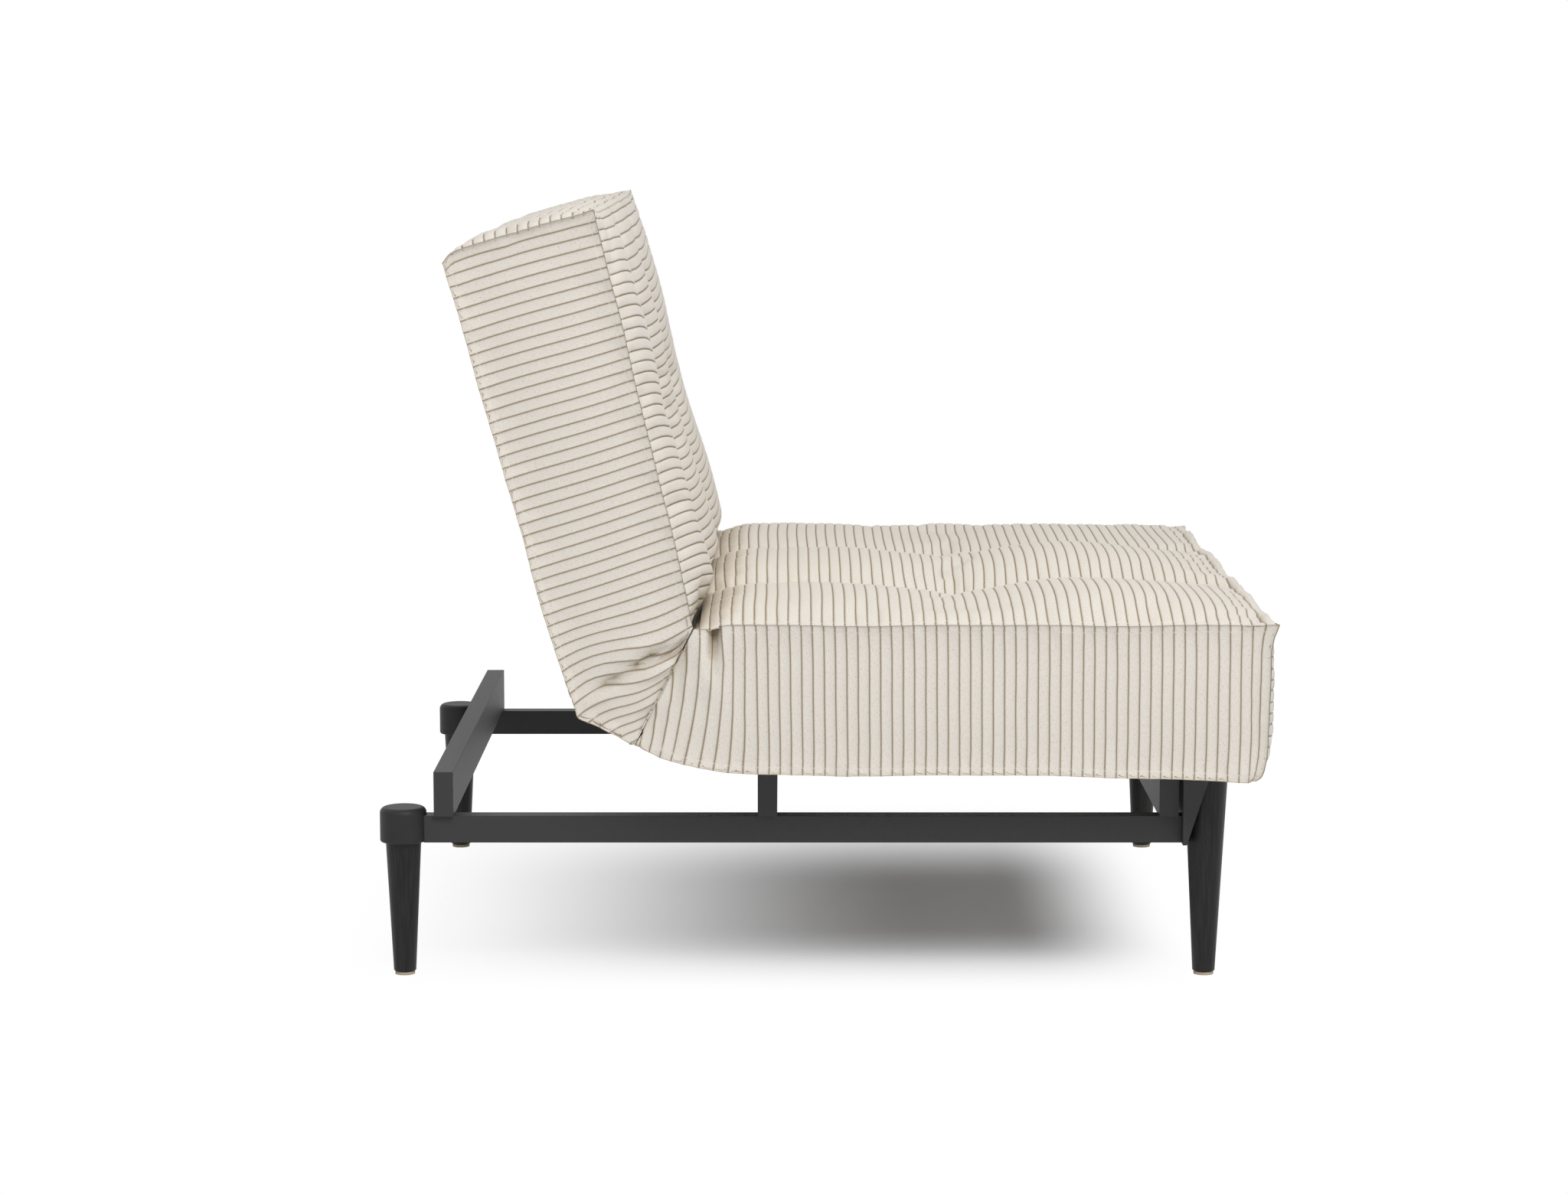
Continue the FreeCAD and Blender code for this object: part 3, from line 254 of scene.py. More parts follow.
def cord_rows(length, start=0.0):
    """Rows along a panel, eight to a cord: their places, depths and shades."""
    first = math.floor(start / CORD)
    count = math.ceil((start + length) / CORD) - first + 1
    cords = first + np.arange(count)[:, None]
    places = ((cords + CORD_PHASES) * CORD).ravel() - start
    depths = np.tile(CORD_DEPTHS, count)
    shades = np.tile(CORD_SHADES, count)
    inner = places[(places > ROW_CLEAR) & (places < length - ROW_CLEAR)]
    rows = np.concatenate([[0], inner, [length]])
    return rows, np.interp(rows, places, depths), np.interp(rows, places, shades)


def columns(low, high, step):
    """Places across a panel, closer together at its sewn edges."""
    inner = np.linspace(low, high, int(round((high - low) / step)) + 1)
    clear = EDGE_COLUMNS[-1] + COLUMN_CLEAR
    inner = inner[(inner > low + clear) & (inner < high - clear)]
    return np.concatenate([low + EDGE_COLUMNS, inner, (high - EDGE_COLUMNS)[::-1]])


def seam_drop(distance):
    """How far cloth sinks as it turns into a seam."""
    inside = np.clip(SEAM_ROUND - distance, 0, SEAM_ROUND)
    return SEAM_ROUND - np.sqrt(SEAM_ROUND ** 2 - inside ** 2)


def normals_of(places):
    """Unit normals of a grid of places."""
    out = np.cross(np.gradient(places, axis=0), np.gradient(places, axis=1))
    return out / np.maximum(np.linalg.norm(out, axis=2, keepdims=True), 1e-9)


def between(coarse, fine):
    """The weights that carry values from coarse places to fine ones along a smooth curve."""
    at = np.interp(fine, coarse, np.arange(len(coarse)))
    first = np.clip(np.floor(at).astype(int), 0, len(coarse) - 2)
    t = at - first
    weights = np.zeros((len(fine), len(coarse)))
    rows = np.arange(len(fine))
    for offset, share in (
        (-1, (-t + 2 * t ** 2 - t ** 3) / 2),
        (0, (2 - 5 * t ** 2 + 3 * t ** 3) / 2),
        (1, (t + 4 * t ** 2 - 3 * t ** 3) / 2),
        (2, (t ** 3 - t ** 2) / 2),
    ):
        np.add.at(weights, (rows, np.clip(first + offset, 0, len(coarse) - 1)), share)
    return weights


def uneven(places):
    """Hand-sewn cloth is never quite straight: a slow wander of every place, alike wherever panels meet. Its
    waves have lengths in millimetres that don't fall in step."""
    x, y, z = places[..., 0], places[..., 1], places[..., 2]
    wander = np.empty_like(places)
    wander[..., 0] = np.sin(z / 31 + y / 57) + 0.7 * np.sin(z / 17 - y / 41 + 1.3)
    wander[..., 1] = np.sin(x / 43 + z / 37 + 0.6) + 0.6 * np.sin(x / 23 - z / 29)
    wander[..., 2] = np.sin(x / 39 + y / 49) + 0.7 * np.sin(x / 21 - y / 33 + 2.1)
    return wander * WANDER


def ears(places):
    """The sewn corners stand out in little points, and a seam dips between them."""
    moved = np.zeros_like(places)
    for (x, y, z), (out, across, up), reach in EARS:
        for side in (-1, 1):
            away = np.linalg.norm(places - np.array([x, side * y, z]), axis=-1)
            moved += near(away, 0, reach)[..., None] * np.array([out, side * across, up])
    inward = HALF - np.abs(places[..., 1])
    for (x, z), depth, reach in DIPS:
        away = np.hypot(places[..., 0] - x, places[..., 2] - z)
        moved[..., 2] -= depth * near(away, 0, reach) * smooth(0, DIP_REACH, inward)
    return moved


class Panel:
    """One panel of the cover: a smooth surface over rows and columns in millimetres, that cords run along."""

    # Fold side is -1 for a panel that stays in front of the fold, 1 for one behind it, and 0 elsewhere
    start = 0.0
    lip = 0.0
    fold_side = 0
    soft = True
    settled = None

    def fine(self):
        """The panel's cloth: its surface as it settled, with cords, sewn edges and stitches."""
        rows, depths, shades = cord_rows(self.length, self.start)
        cols = self.columns
        places = self.surface(rows, cols) + self.moved(rows, cols)
        edge = self.edge(rows, cols)
        depth = np.repeat((depths * self.calm(rows))[:, None], len(cols), 1)
        shade = np.repeat(shades[:, None], len(cols), 1)
        stitch = near(edge, STITCH_LINE, LINE_WIDTH)
        if self.lip:
            plain, height = self.rolled(rows, cols)
            depth = depth * (1 - plain) - height
            shade = shade * (1 - plain)
            stitch = stitch * (1 - plain)
        depth = depth * (1 - STITCH_FLATTENS * stitch)
        shade = np.maximum(shade * (1 - STITCH_PALES * stitch), SEAM_SHADE * near(edge, 0, LINE_WIDTH))
        sunk = depth + seam_drop(edge)
        places = places - normals_of(places) * self.outward * sunk[..., None]
        if self.fold_side:
            places[..., [0, 2]] += self.pressed(places)
        cloth = np.empty(places.shape[:2] + (2,))
        cloth[..., 0] = cols[None, :]
        cloth[..., 1] = rows[:, None] + self.start
        return places, shade, cloth

    def moved(self, rows, cols):
        """How far each place moved as the cloth settled."""
        if self.settled is None:
            return 0.0
        coarse_rows, coarse_cols, moves = self.settled
        across = np.einsum("ij,jkl->ikl", between(coarse_rows, rows), moves)
        return np.einsum("ij,kjl->kil", between(coarse_cols, cols), across)

    def rolled(self, rows, cols):
        """The lip along the panel's far edge: where the cloth is plain, and how high it stands."""
        along = np.clip((rows - self.length) / LIP_WIDTH + 1, 0, 1)[:, None]
        wave = np.ones(len(cols))
        for share, length, phase in LIP_WAVES:
            wave = wave + share * np.sin(cols / length + phase)
        corner = smooth(*LIP_CORNER, HALF - np.abs(cols))
        return smooth(0, LIP_STEP, along), self.lip * np.sin(math.pi * along) * (wave * corner)[None, :]

    def pressed(self, places):
        """How far places that cross the fold have to move back to the panel's own side of it."""
        flat = places[..., [0, 2]] - PIVOT
        over = FOLD_HALF - self.fold_side * (flat @ FOLD_ACROSS - FOLD_SHIFT)
        return np.maximum(over, 0)[..., None] * self.fold_side * FOLD_ACROSS

    def calm(self, rows):
        """How much of the cords' depth each row has."""
        return np.ones(len(rows))

    def quads(self, rows, cols, first):
        """The faces of a grid, wound to face outward."""
        index = first + np.arange(rows * cols).reshape(rows, cols)
        corners = [index[:-1, :-1], index[1:, :-1], index[1:, 1:], index[:-1, 1:]]
        faces = np.stack(corners, -1).reshape(-1, 4)
        return faces if self.outward > 0 else faces[:, ::-1]

    def held(self, rows, cols):
        """How firmly each place is held as the cloth settles: wholly at seams, and a little elsewhere."""
        held = np.full((len(rows), len(cols)), SETTLE_HOLD)
        held[[0, -1]] = 1
        held[:, [0, -1]] = 1
        return held

    def coarse(self):
        """Rows and columns for the cloth to settle on, and their surface."""
        rows = np.linspace(0, self.length, max(3, int(self.length / COARSE)))
        cols = np.linspace(self.columns[0], self.columns[-1], max(3, int(self.width / COARSE)))
        return rows, cols, self.surface(rows, cols)


class Wrap(Panel):
    """A panel that goes across the chair along a line of the side view, lifted by its crown. Crease is how
    much of its length is held there as it settles. A panel with a lip counts its cords from its far edge."""

    def __init__(
        self, path, outward, crown=None, sewn_ends=(True, True), step=10.0, crease=0.0, lip=0.0, fold_side=0,
    ):
        self.path = path
        self.outward = outward
        self.crown = crown
        self.sewn_ends = sewn_ends
        self.length = path.length
        self.width = 2 * HALF
        self.columns = columns(-HALF, HALF, step)
        if crease:
            clear = CHANNEL_COLUMNS[-1] + COLUMN_CLEAR
            plain = self.columns[np.abs(np.abs(self.columns) - CHANNEL) > clear]
            lines = (CHANNEL + CHANNEL_COLUMNS, -CHANNEL - CHANNEL_COLUMNS)
            self.columns = np.sort(np.concatenate([plain, *lines]))
        self.crease = crease
        self.lip = lip
        self.fold_side = fold_side
        self.start = -path.length if lip else 0.0
        self.soft = crown is not None

    def surface(self, rows, cols):
        places = across_chair(self.path.at(rows), cols)
        if self.crown is not None:
            rise, shift = self.crown(rows[:, None], cols[None, :])
            slope = self.path.at(rows + 1) - self.path.at(rows - 1)
            slope /= np.linalg.norm(slope, axis=1, keepdims=True)
            facing = np.stack([-slope[:, 1], slope[:, 0]], -1) * self.outward
            places[..., 0] += facing[:, None, 0] * rise + slope[:, None, 0] * shift
            places[..., 2] += facing[:, None, 1] * rise + slope[:, None, 1] * shift
        loose = np.ones((len(rows), len(cols)))
        if self.crease:
            loose *= self.calm(rows)[:, None]
        if self.crown is None:
            loose *= (1 - smooth(0, WANDER_REACH, HALF - np.abs(cols)))[None, :]
        return places + uneven(places) * loose[..., None] + ears(places)

    def calm(self, rows):
        """0 inside the crease, where cloth has to lie still to fold, and 1 outside it."""
        if not self.crease:
            return super().calm(rows)
        rim = CREASE_RIM - CREASE_FLOOR
        return smooth(rim - CALM_BELOW, rim + CALM_ABOVE, rows)

    def held(self, rows, cols):
        """A cushion's cloth is also held inside the crease and along the channels."""
        held = super().held(rows, cols)
        if self.crease:
            held[rows < self.crease] = 1
            channel = near(np.abs(cols), CHANNEL, COARSE)
            held = np.maximum(held, channel[None, :])
        return held

    def edge(self, rows, cols):
        """How far each place is from the nearest sewn edge."""
        edge = np.repeat((HALF - np.abs(cols))[None, :], len(rows), 0)
        if self.sewn_ends[0]:
            edge = np.minimum(edge, rows[:, None])
        if self.sewn_ends[1]:
            edge = np.minimum(edge, (self.length - rows)[:, None])
        return edge


class Side(Panel):
    """A side panel whose cords run between an inner and an outer line of the side view. Each line gives the
    place of every cord, and the first cord follows the end panel's edge."""

    def __init__(self, side, fold_side, inner, outer, cords, end, swing, folds):
        self.inner = inner
        self.outer = outer
        self.side = side
        self.outward = -side * fold_side
        self.fold_side = fold_side
        self.end = end
        self.swing = swing
        self.folds = folds
        self.crease, count = cords
        self.length = count * CORD
        self.width = SIDE_WIDTH
        self.columns = columns(0, SIDE_WIDTH, SIDE_STEP)

    def flat(self, rows, cols):
        """Places in the side view, and the length of each row's cord."""
        cords = rows / CORD
        t = cols / SIDE_WIDTH
        inside = self.inner(cords)
        span = self.outer(cords) - inside
        flat = inside[:, None, :] + span[:, None, :] * t[None, :, None]
        follow = self.end.at(t * self.end.length)[None] - flat[:1]
        flat = flat + follow * (1 - smooth(0, FOLLOWING_CORDS, cords))[:, None, None]
        length = np.linalg.norm(span, axis=1)
        square = np.stack([-span[:, 1], span[:, 0]], -1) / np.maximum(length, 1e-6)[:, None]
        far, cord, beside, bows = self.swing
        swing = far * near(cords, cord, beside)[:, None] * np.sin(bows * math.pi * t)[None, :]
        return flat + square[:, None, :] * swing[..., None], length

    def surface(self, rows, cols):
        flat, length = self.flat(rows, cols)
        bow = 1 - np.abs(2 * cols / SIDE_WIDTH - 1) ** SIDE_POWER
        out = SIDE_BULGE * bow[None, :] * smooth(0, BULGE_LENGTH, length)[:, None]
        out = out * smooth(0, BULGE_END, rows)[:, None]
        places = np.empty(flat.shape[:2] + (3,))
        places[..., 0] = flat[..., 0]
        places[..., 1] = self.side * (HALF + out + self.folds(flat))
        places[..., 2] = flat[..., 1]
        return places + uneven(places) + ears(places)

    def edge(self, rows, cols):
        """How far each place is from the nearest sewn edge. Past the crease the mitre is loose."""
        _, length = self.flat(rows, cols)
        t = cols / SIDE_WIDTH
        loose = MITRE_LOOSE * smooth(self.crease - 1, self.crease + 1, rows / CORD)
        inner = t[None, :] * length[:, None] + loose[:, None]
        outer = (1 - t)[None, :] * length[:, None]
        return np.minimum(np.minimum(inner, outer), rows[:, None])


class Folded(Panel):
    """Cloth that lies folded flat at rest, with no seam of its own."""

    soft = False

    def calm(self, rows):
        return np.zeros(len(rows))

    def edge(self, rows, cols):
        return np.full((len(rows), len(cols)), NO_SEAM)


class Pleat(Folded):
    """The cloth folded in along the mitre of a side, which opens out as the back goes down."""

    def __init__(self, side):
        self.side = side
        self.outward = side
        self.length = CREASE_FLOOR - MITRE_LOW
        self.columns = np.linspace(-1, 1, PLEAT_COLUMNS)

    def surface(self, rows, cols):
        along = CREASE_FLOOR - rows
        fold = PLEAT_DEPTH + PLEAT_DEEPENS * np.maximum(along, 0)
        depth = PLEAT_INSET + (1 - cols ** 2)[None, :] * fold[:, None]
        flat = on_fold(along[:, None], (cols * FOLD_HALF)[None, :])
        return np.stack([flat[..., 0], self.side * (HALF - depth), flat[..., 1]], -1)


class Gusset(Folded):
    """The cloth at the bottom of the crease, which bridges the gap as the back goes down."""

    outward = -1

    def __init__(self):
        self.length = GUSSET_CORDS * CORD
        self.columns = np.linspace(-HALF, HALF, GUSSET_COLUMNS)

    def surface(self, rows, cols):
        share = rows / self.length
        cord = np.interp(rows % CORD, CORD_PHASES * CORD, CORD_DEPTHS, period=CORD)
        sink = GUSSET_SINK * np.sin(math.pi * share) + cord
        return across_chair(on_fold(CREASE_FLOOR - sink, (2 * share - 1) * FOLD_HALF), cols)


def sewn(name, panels, cloth):
    """One piece of cloth from its panels, with the shade of its grooves and its places on the weave."""
    places, shades, weaves, faces = [], [], [], []
    count = 0
    for panel in panels:
        spots, shade, weave = panel.fine()
        rows, cols = spots.shape[:2]
        faces.append(panel.quads(rows, cols, count))
        places.append(spots.reshape(-1, 3))
        shades.append(shade.ravel())
        weaves.append(weave.reshape(-1, 2))
        count += rows * cols
    faces = np.vstack(faces)
    mesh = bpy.data.meshes.new(name)
    mesh.from_pydata((np.vstack(places) * MM).tolist(), [], faces.tolist())
    mesh.polygons.foreach_set("use_smooth", np.ones(len(faces), bool))
    groove = mesh.attributes.new("groove", "FLOAT", "POINT")
    groove.data.foreach_set("value", np.concatenate(shades).astype(np.float32))
    layer = mesh.uv_layers.new(name="cloth")
    corners = np.vstack(weaves)[faces.ravel()] * MM
    layer.uv.foreach_set("vector", corners.astype(np.float32).ravel())
    mesh.materials.append(cloth)
    mesh.update()
    thing = bpy.data.objects.new(name, mesh)
    bpy.context.scene.collection.objects.link(thing)
    return thing


def settling_bag(panels, grids):
    """All panels' coarse grids as one mesh, with a vertex group that holds them."""
    places = np.vstack([spots.reshape(-1, 3) for rows, cols, spots in grids])
    held = []
    faces = []
    count = 0
    for panel, (rows, cols, spots) in zip(panels, grids):
        held.append(panel.held(rows, cols).ravel())
        faces.append(panel.quads(len(rows), len(cols), count))
        count += len(rows) * len(cols)
    mesh = bpy.data.meshes.new("settling")
    mesh.from_pydata((places * MM).tolist(), [], np.vstack(faces).tolist())
    bag = bpy.data.objects.new("settling", mesh)
    bpy.context.scene.collection.objects.link(bag)
    group = bag.vertex_groups.new(name="held")
    for index, weight in enumerate(np.concatenate(held)):
        group.add([index], float(weight), "REPLACE")
    return bag, places


def settle(panels):
    """Lets the stuffing push the covers out as cloth, held at the seams, the channels and the crease, and
    keeps how far each panel moved."""
    grids = [panel.coarse() for panel in panels]
    bag, places = settling_bag(panels, grids)
    cloth = bag.modifiers.new("cloth", "CLOTH")
    cloth.settings.quality = 6
    cloth.settings.mass = 0.25
    cloth.settings.tension_stiffness = 20
    cloth.settings.compression_stiffness = 12
    cloth.settings.shear_stiffness = 6
    cloth.settings.bending_stiffness = 0.4
    cloth.settings.use_pressure = True
    cloth.settings.uniform_pressure_force = 2.0
    cloth.settings.shrink_min = SETTLE_SLACK
    cloth.settings.vertex_group_mass = "held"
    cloth.settings.effector_weights.gravity = 0
    cloth.collision_settings.use_collision = False
    cloth.collision_settings.use_self_collision = False
    for step in range(1, SETTLE_STEPS + 1):
        bpy.context.scene.frame_set(step)
    shape = bag.evaluated_get(bpy.context.evaluated_depsgraph_get()).data
    found = np.empty(len(shape.vertices) * 3, np.float32)
    shape.vertices.foreach_get("co", found)
    moves = found.reshape(-1, 3) / MM - places
    far = np.linalg.norm(moves, axis=1, keepdims=True)
    moves *= np.minimum(1, SETTLE_CAP / np.maximum(far, 1e-9))
    bpy.context.scene.frame_set(1)
    bpy.data.objects.remove(bag)
    count = 0
    for panel, (rows, cols, spots) in zip(panels, grids):
        size = len(rows) * len(cols)
        panel.settled = rows, cols, moves[count:count + size].reshape(spots.shape)
        count += size


# The side view's corners, and the lines between them from the crease to the front and over the back
SEAM_HEIGHT = 378
SEAT_CORNER = (452, SEAM_HEIGHT)
BACK_CORNER = (-225, 790.5)
REAR_CORNER = (-374.5, 738)
HEEL = (-243, 288)
CREASE_END = (-129, 374)
FRONT_LINE = [SEAT_CORNER, (448.5, 356), (448, 320), (446.5, 275), (444.5, 240), (439, 224)]
UNDER_LINE = [(426, 218.5), (380, 220.5), (300, 224), (200, 226), (0, 226), (-70, 227)]
UNDER_TAIL = (-156, 242)
MITRE_END = on_fold(MITRE_LOW, 0)
MITRE = Path([on_fold(MITRE_TOP, 0), MITRE_END], straight=True)
SEAT_TOP = Path([
    on_fold(CREASE_FLOOR, -FOLD_HALF), on_fold(CREASE_WALL, -FOLD_HALF), on_fold(CREASE_RIM, -RIM_HALF),
    (-122, 373.5), (-112, 374.5), *((x, SEAM_HEIGHT) for x in (-94, -40, 60, 200, 330, 430)), SEAT_CORNER,
])
SEAT_FRONT = Path([*FRONT_LINE, UNDER_LINE[0]])
UNDERSIDE = Path([
    HEEL, (-219, 274), (-195, 260.5), (-175, 249.5), UNDER_TAIL, (-116, 232), *UNDER_LINE[::-1],
])
BACK_FRONT = Path([
    on_fold(CREASE_FLOOR, FOLD_HALF), on_fold(CREASE_WALL, FOLD_HALF), on_fold(CREASE_RIM, RIM_HALF),
    (-133.5, 384), (-133.2, 402), (-138, 422), (-155.9, 497), (-179.8, 598.5), (-202.7, 695.6), BACK_CORNER,
])
BACK_TOP = Path([BACK_CORNER, (-260, 781), (-310, 766), (-354, 753.5), (-367, 748), REAR_CORNER])
BACK_REAR = Path([REAR_CORNER, (-321, 546), (-266.8, 351), (-249, 297), HEEL])

# The seams and edges of the sides, each from the end panel to the crease or the mitre's end
SEAT_SEAM = Path([SEAT_CORNER, (-94, SEAM_HEIGHT), (-112, 374), CREASE_END], straight=True)
SEAT_EDGE = Path([(451, 217.5), *UNDER_LINE, (-100, 229.5), (-129, 235), UNDER_TAIL, MITRE_END])
BACK_SEAM = Path([BACK_CORNER, (-133.6, 402.4), CREASE_END], straight=True)
BACK_EDGE = Path([
    (-377.3, 748), (-321, 546), (-266.8, 351), (-249, 300), (-242, 286), (-219, 273), MITRE_END,
])
FRONT_EDGE = Path([*FRONT_LINE, (434, 220.5)])


def bands(y, right, middle, left):
    """The height of three padded bands across a cushion over its side seams, from the crest of each."""
    inner = CHANNEL_LEVEL + (middle - CHANNEL_LEVEL) * (1 - np.abs(y / CHANNEL) ** BAND_POWER)
    share = (np.abs(y) - CHANNEL) / (HALF - CHANNEL)
    line = CHANNEL_LEVEL * (1 - share)
    crest = np.where(y < 0, right, left)
    outer = line + (crest - CHANNEL_LEVEL / 2) * (1 - np.abs(2 * share - 1) ** BAND_POWER)
    return np.where(np.abs(y) < CHANNEL, inner, outer)


def cushion_crown(length, tuft, start, nose, ramp, crests, droop, valley):
    """The crown of a cushion with a tuft in each channel, at a distance from its far edge. It rises from its
    start at the crease over its nose and falls over the ramp to its far edge. Crests are the heights of its
    three bands at the crease and at the far edge, droop is how far its cords hang between the side seams, and
    valley how far it sinks across the tufts."""
    tufts = length - tuft

    def crown(s, y):
        inward = HALF - np.abs(y)
        near_end = np.sqrt(1 - (1 - np.clip((s - start) / nose, 0, 1)) ** 2)
        far_end = 1 - (1 - np.clip((length - s) / ramp, 0, 1)) ** FAR_POWER
        full = near_end * far_end
        heights = [np.interp(s, [start, length], ends) for ends in crests]
        across = near(np.abs(y), CHANNEL, TUFT_ACROSS)
        along = near(s, tufts, TUFT_ALONG)
        inside = smooth(0, SEAM_REACH, inward)
        dip = valley * near(s, tufts, TUFT_VALLEY) + TUFT_PULL * across * along
        trough = TROUGH_SINK * near(s, start - TROUGH_BACK, TROUGH_WIDTH) * inside
        gather = -TUFT_GATHER * across * (s - tufts) / TUFT_ALONG * along
        hang = droop * smooth(0, DROOP_REACH, inward) * smooth(0, DROOP_END, length - s)
        rise = full * (bands(y, *heights) - dip * inside) - trough
        return rise, (gather - hang) * full
    return crown


def end_crown(length, amount):
    """The crown of an end panel, drawn in at its seams."""
    def crown(s, y):
        across = 1 - np.abs(y / HALF) ** END_ACROSS_POWER
        along = np.clip(1 - np.abs(2 * s / length - 1) ** END_ALONG_POWER, 0, 1)
        return amount * across * along, 0 * y * s
    return crown


def to_mitre(seam, cords, limits, across):
    """The place on a seam of each cord up to the crease, and on the mitre of each one after it."""
    share = np.clip((cords - limits[0]) / (limits[1] - limits[0]), 0, 1)
    mitre = MITRE.at(share * MITRE.length) + across * FOLD_ACROSS
    return np.where((cords > limits[0])[:, None], mitre, seam.at(cords / limits[0] * seam.length))


def seat_inner(cords):
    return to_mitre(SEAT_SEAM, cords, SEAT_CORDS, -FOLD_HALF)


def seat_outer(cords):
    """The seat's cords stand upright, and below the crease they lean back towards the fold."""
    upright = UPRIGHT_CORDS * CORD - UPRIGHT_SHORT
    places = [0, upright, LEAN_PLACE, SEAT_EDGE.length]
    return SEAT_EDGE.at(np.interp(cords, [0, UPRIGHT_CORDS, *SEAT_CORDS], places))


def back_inner(cords):
    return to_mitre(BACK_SEAM, cords, BACK_CORDS, FOLD_HALF)


def back_outer(cords):
    return BACK_EDGE.at(cords / BACK_CORDS[1] * BACK_EDGE.length)


def side_valley(flat):
    """How far a side is drawn in beside the mitre."""
    off = flat - PIVOT
    along = off @ FOLD_ALONG
    length = smooth(MITRE_LOW, VALLEY_FULL, along) * (1 - smooth(VALLEY_FADES, VALLEY_END, along))
    return -VALLEY_DEPTH * near(off @ FOLD_ACROSS, FOLD_SHIFT, VALLEY_WIDTH) * length


def seat_folds(flat):
    """The tuck where the seat's side is gathered under the crease."""
    x, z = flat[..., 0], flat[..., 1]
    middle = TUCK_X - (SEAM_HEIGHT - z) * TUCK_LEAN
    return side_valley(flat) - TUCK_DEPTH * near(x, middle, TUCK_WIDTH) * smooth(TUCK_LOW, TUCK_HIGH, z)


def back_folds(flat):
    """Drag lines where the back's side is drawn into the fold."""
    x, z = flat[..., 0], flat[..., 1]
    drag = side_valley(flat)
    for x0, z0, lean, long, wide, high in DRAGS:
        along = (x - x0) * math.cos(lean) + (z - z0) * math.sin(lean)
        across = (z - z0) * math.cos(lean) - (x - x0) * math.sin(lean)
        drag = drag + high * near(along, 0, long) * near(across, 0, wide)
    return drag


def material(name):
    """A new material, its node tree and its shader."""
    made = bpy.data.materials.new(name)
    made.use_nodes = True
    return made, made.node_tree, made.node_tree.nodes["Principled BSDF"]


def set_values(made, **values):
    """Sets a node's properties, or else its inputs, by name. An underscore stands for a space."""
    for key, value in values.items():
        if hasattr(made, key):
            setattr(made, key, value)
        else:
            made.inputs[key.replace("_", " ")].default_value = value


def node(tree, kind, **values):
    made = tree.nodes.new(kind)
    set_values(made, **values)
    return made


def feed(tree, socket, value):
    """Gives an input another node's output, or a plain value."""
    if isinstance(value, bpy.types.NodeSocket):
        tree.links.new(value, socket)
    else:
        socket.default_value = value


def noise(tree, place, stretch, scale, detail):
    """A noise over a place stretched along its axes."""
    mapped = node(tree, "ShaderNodeMapping", Scale=stretch)
    feed(tree, mapped.inputs["Vector"], place)
    made = node(tree, "ShaderNodeTexNoise", Scale=scale, Detail=detail)
    feed(tree, made.inputs["Vector"], mapped.outputs["Vector"])
    return made.outputs["Fac"]


def ramp(tree, value, *stops):
    """The colour for a value between two stops, each a position and a colour."""
    made = node(tree, "ShaderNodeValToRGB")
    for element, (position, colour) in zip(made.color_ramp.elements, stops):
        element.position = position
        element.color = (*colour, 1)
    feed(tree, made.inputs["Fac"], value)
    return made.outputs["Color"]


def ranged(tree, value, low, high, at_low, at_high, steps="LINEAR"):
    """A value carried from one range to another."""
    made = node(tree, "ShaderNodeMapRange", interpolation_type=steps)
    set_values(made, From_Min=low, From_Max=high, To_Min=at_low, To_Max=at_high)
    feed(tree, made.inputs["Value"], value)
    return made.outputs["Result"]


def mixed(tree, share, first, second, blend="MIX"):
    """Two colours mixed by a share."""
    made = node(tree, "ShaderNodeMix", data_type="RGBA", blend_type=blend)
    feed(tree, made.inputs["Factor"], share)
    feed(tree, made.inputs["A"], first)
    feed(tree, made.inputs["B"], second)
    return made.outputs["Result"]


def reckoned(tree, operation, first, second):
    """Two numbers worked into one."""
    made = node(tree, "ShaderNodeMath", operation=operation)
    feed(tree, made.inputs[0], first)
    feed(tree, made.inputs[1], second)
    return made.outputs[0]


def raised(tree, shader, height, normal=None, **values):
    """Gives a shader a fine relief."""
    bump = node(tree, "ShaderNodeBump", **values)
    feed(tree, bump.inputs["Height"], height)
    if normal is not None:
        feed(tree, bump.inputs["Normal"], normal)
    feed(tree, shader.inputs["Normal"], bump.outputs["Normal"])


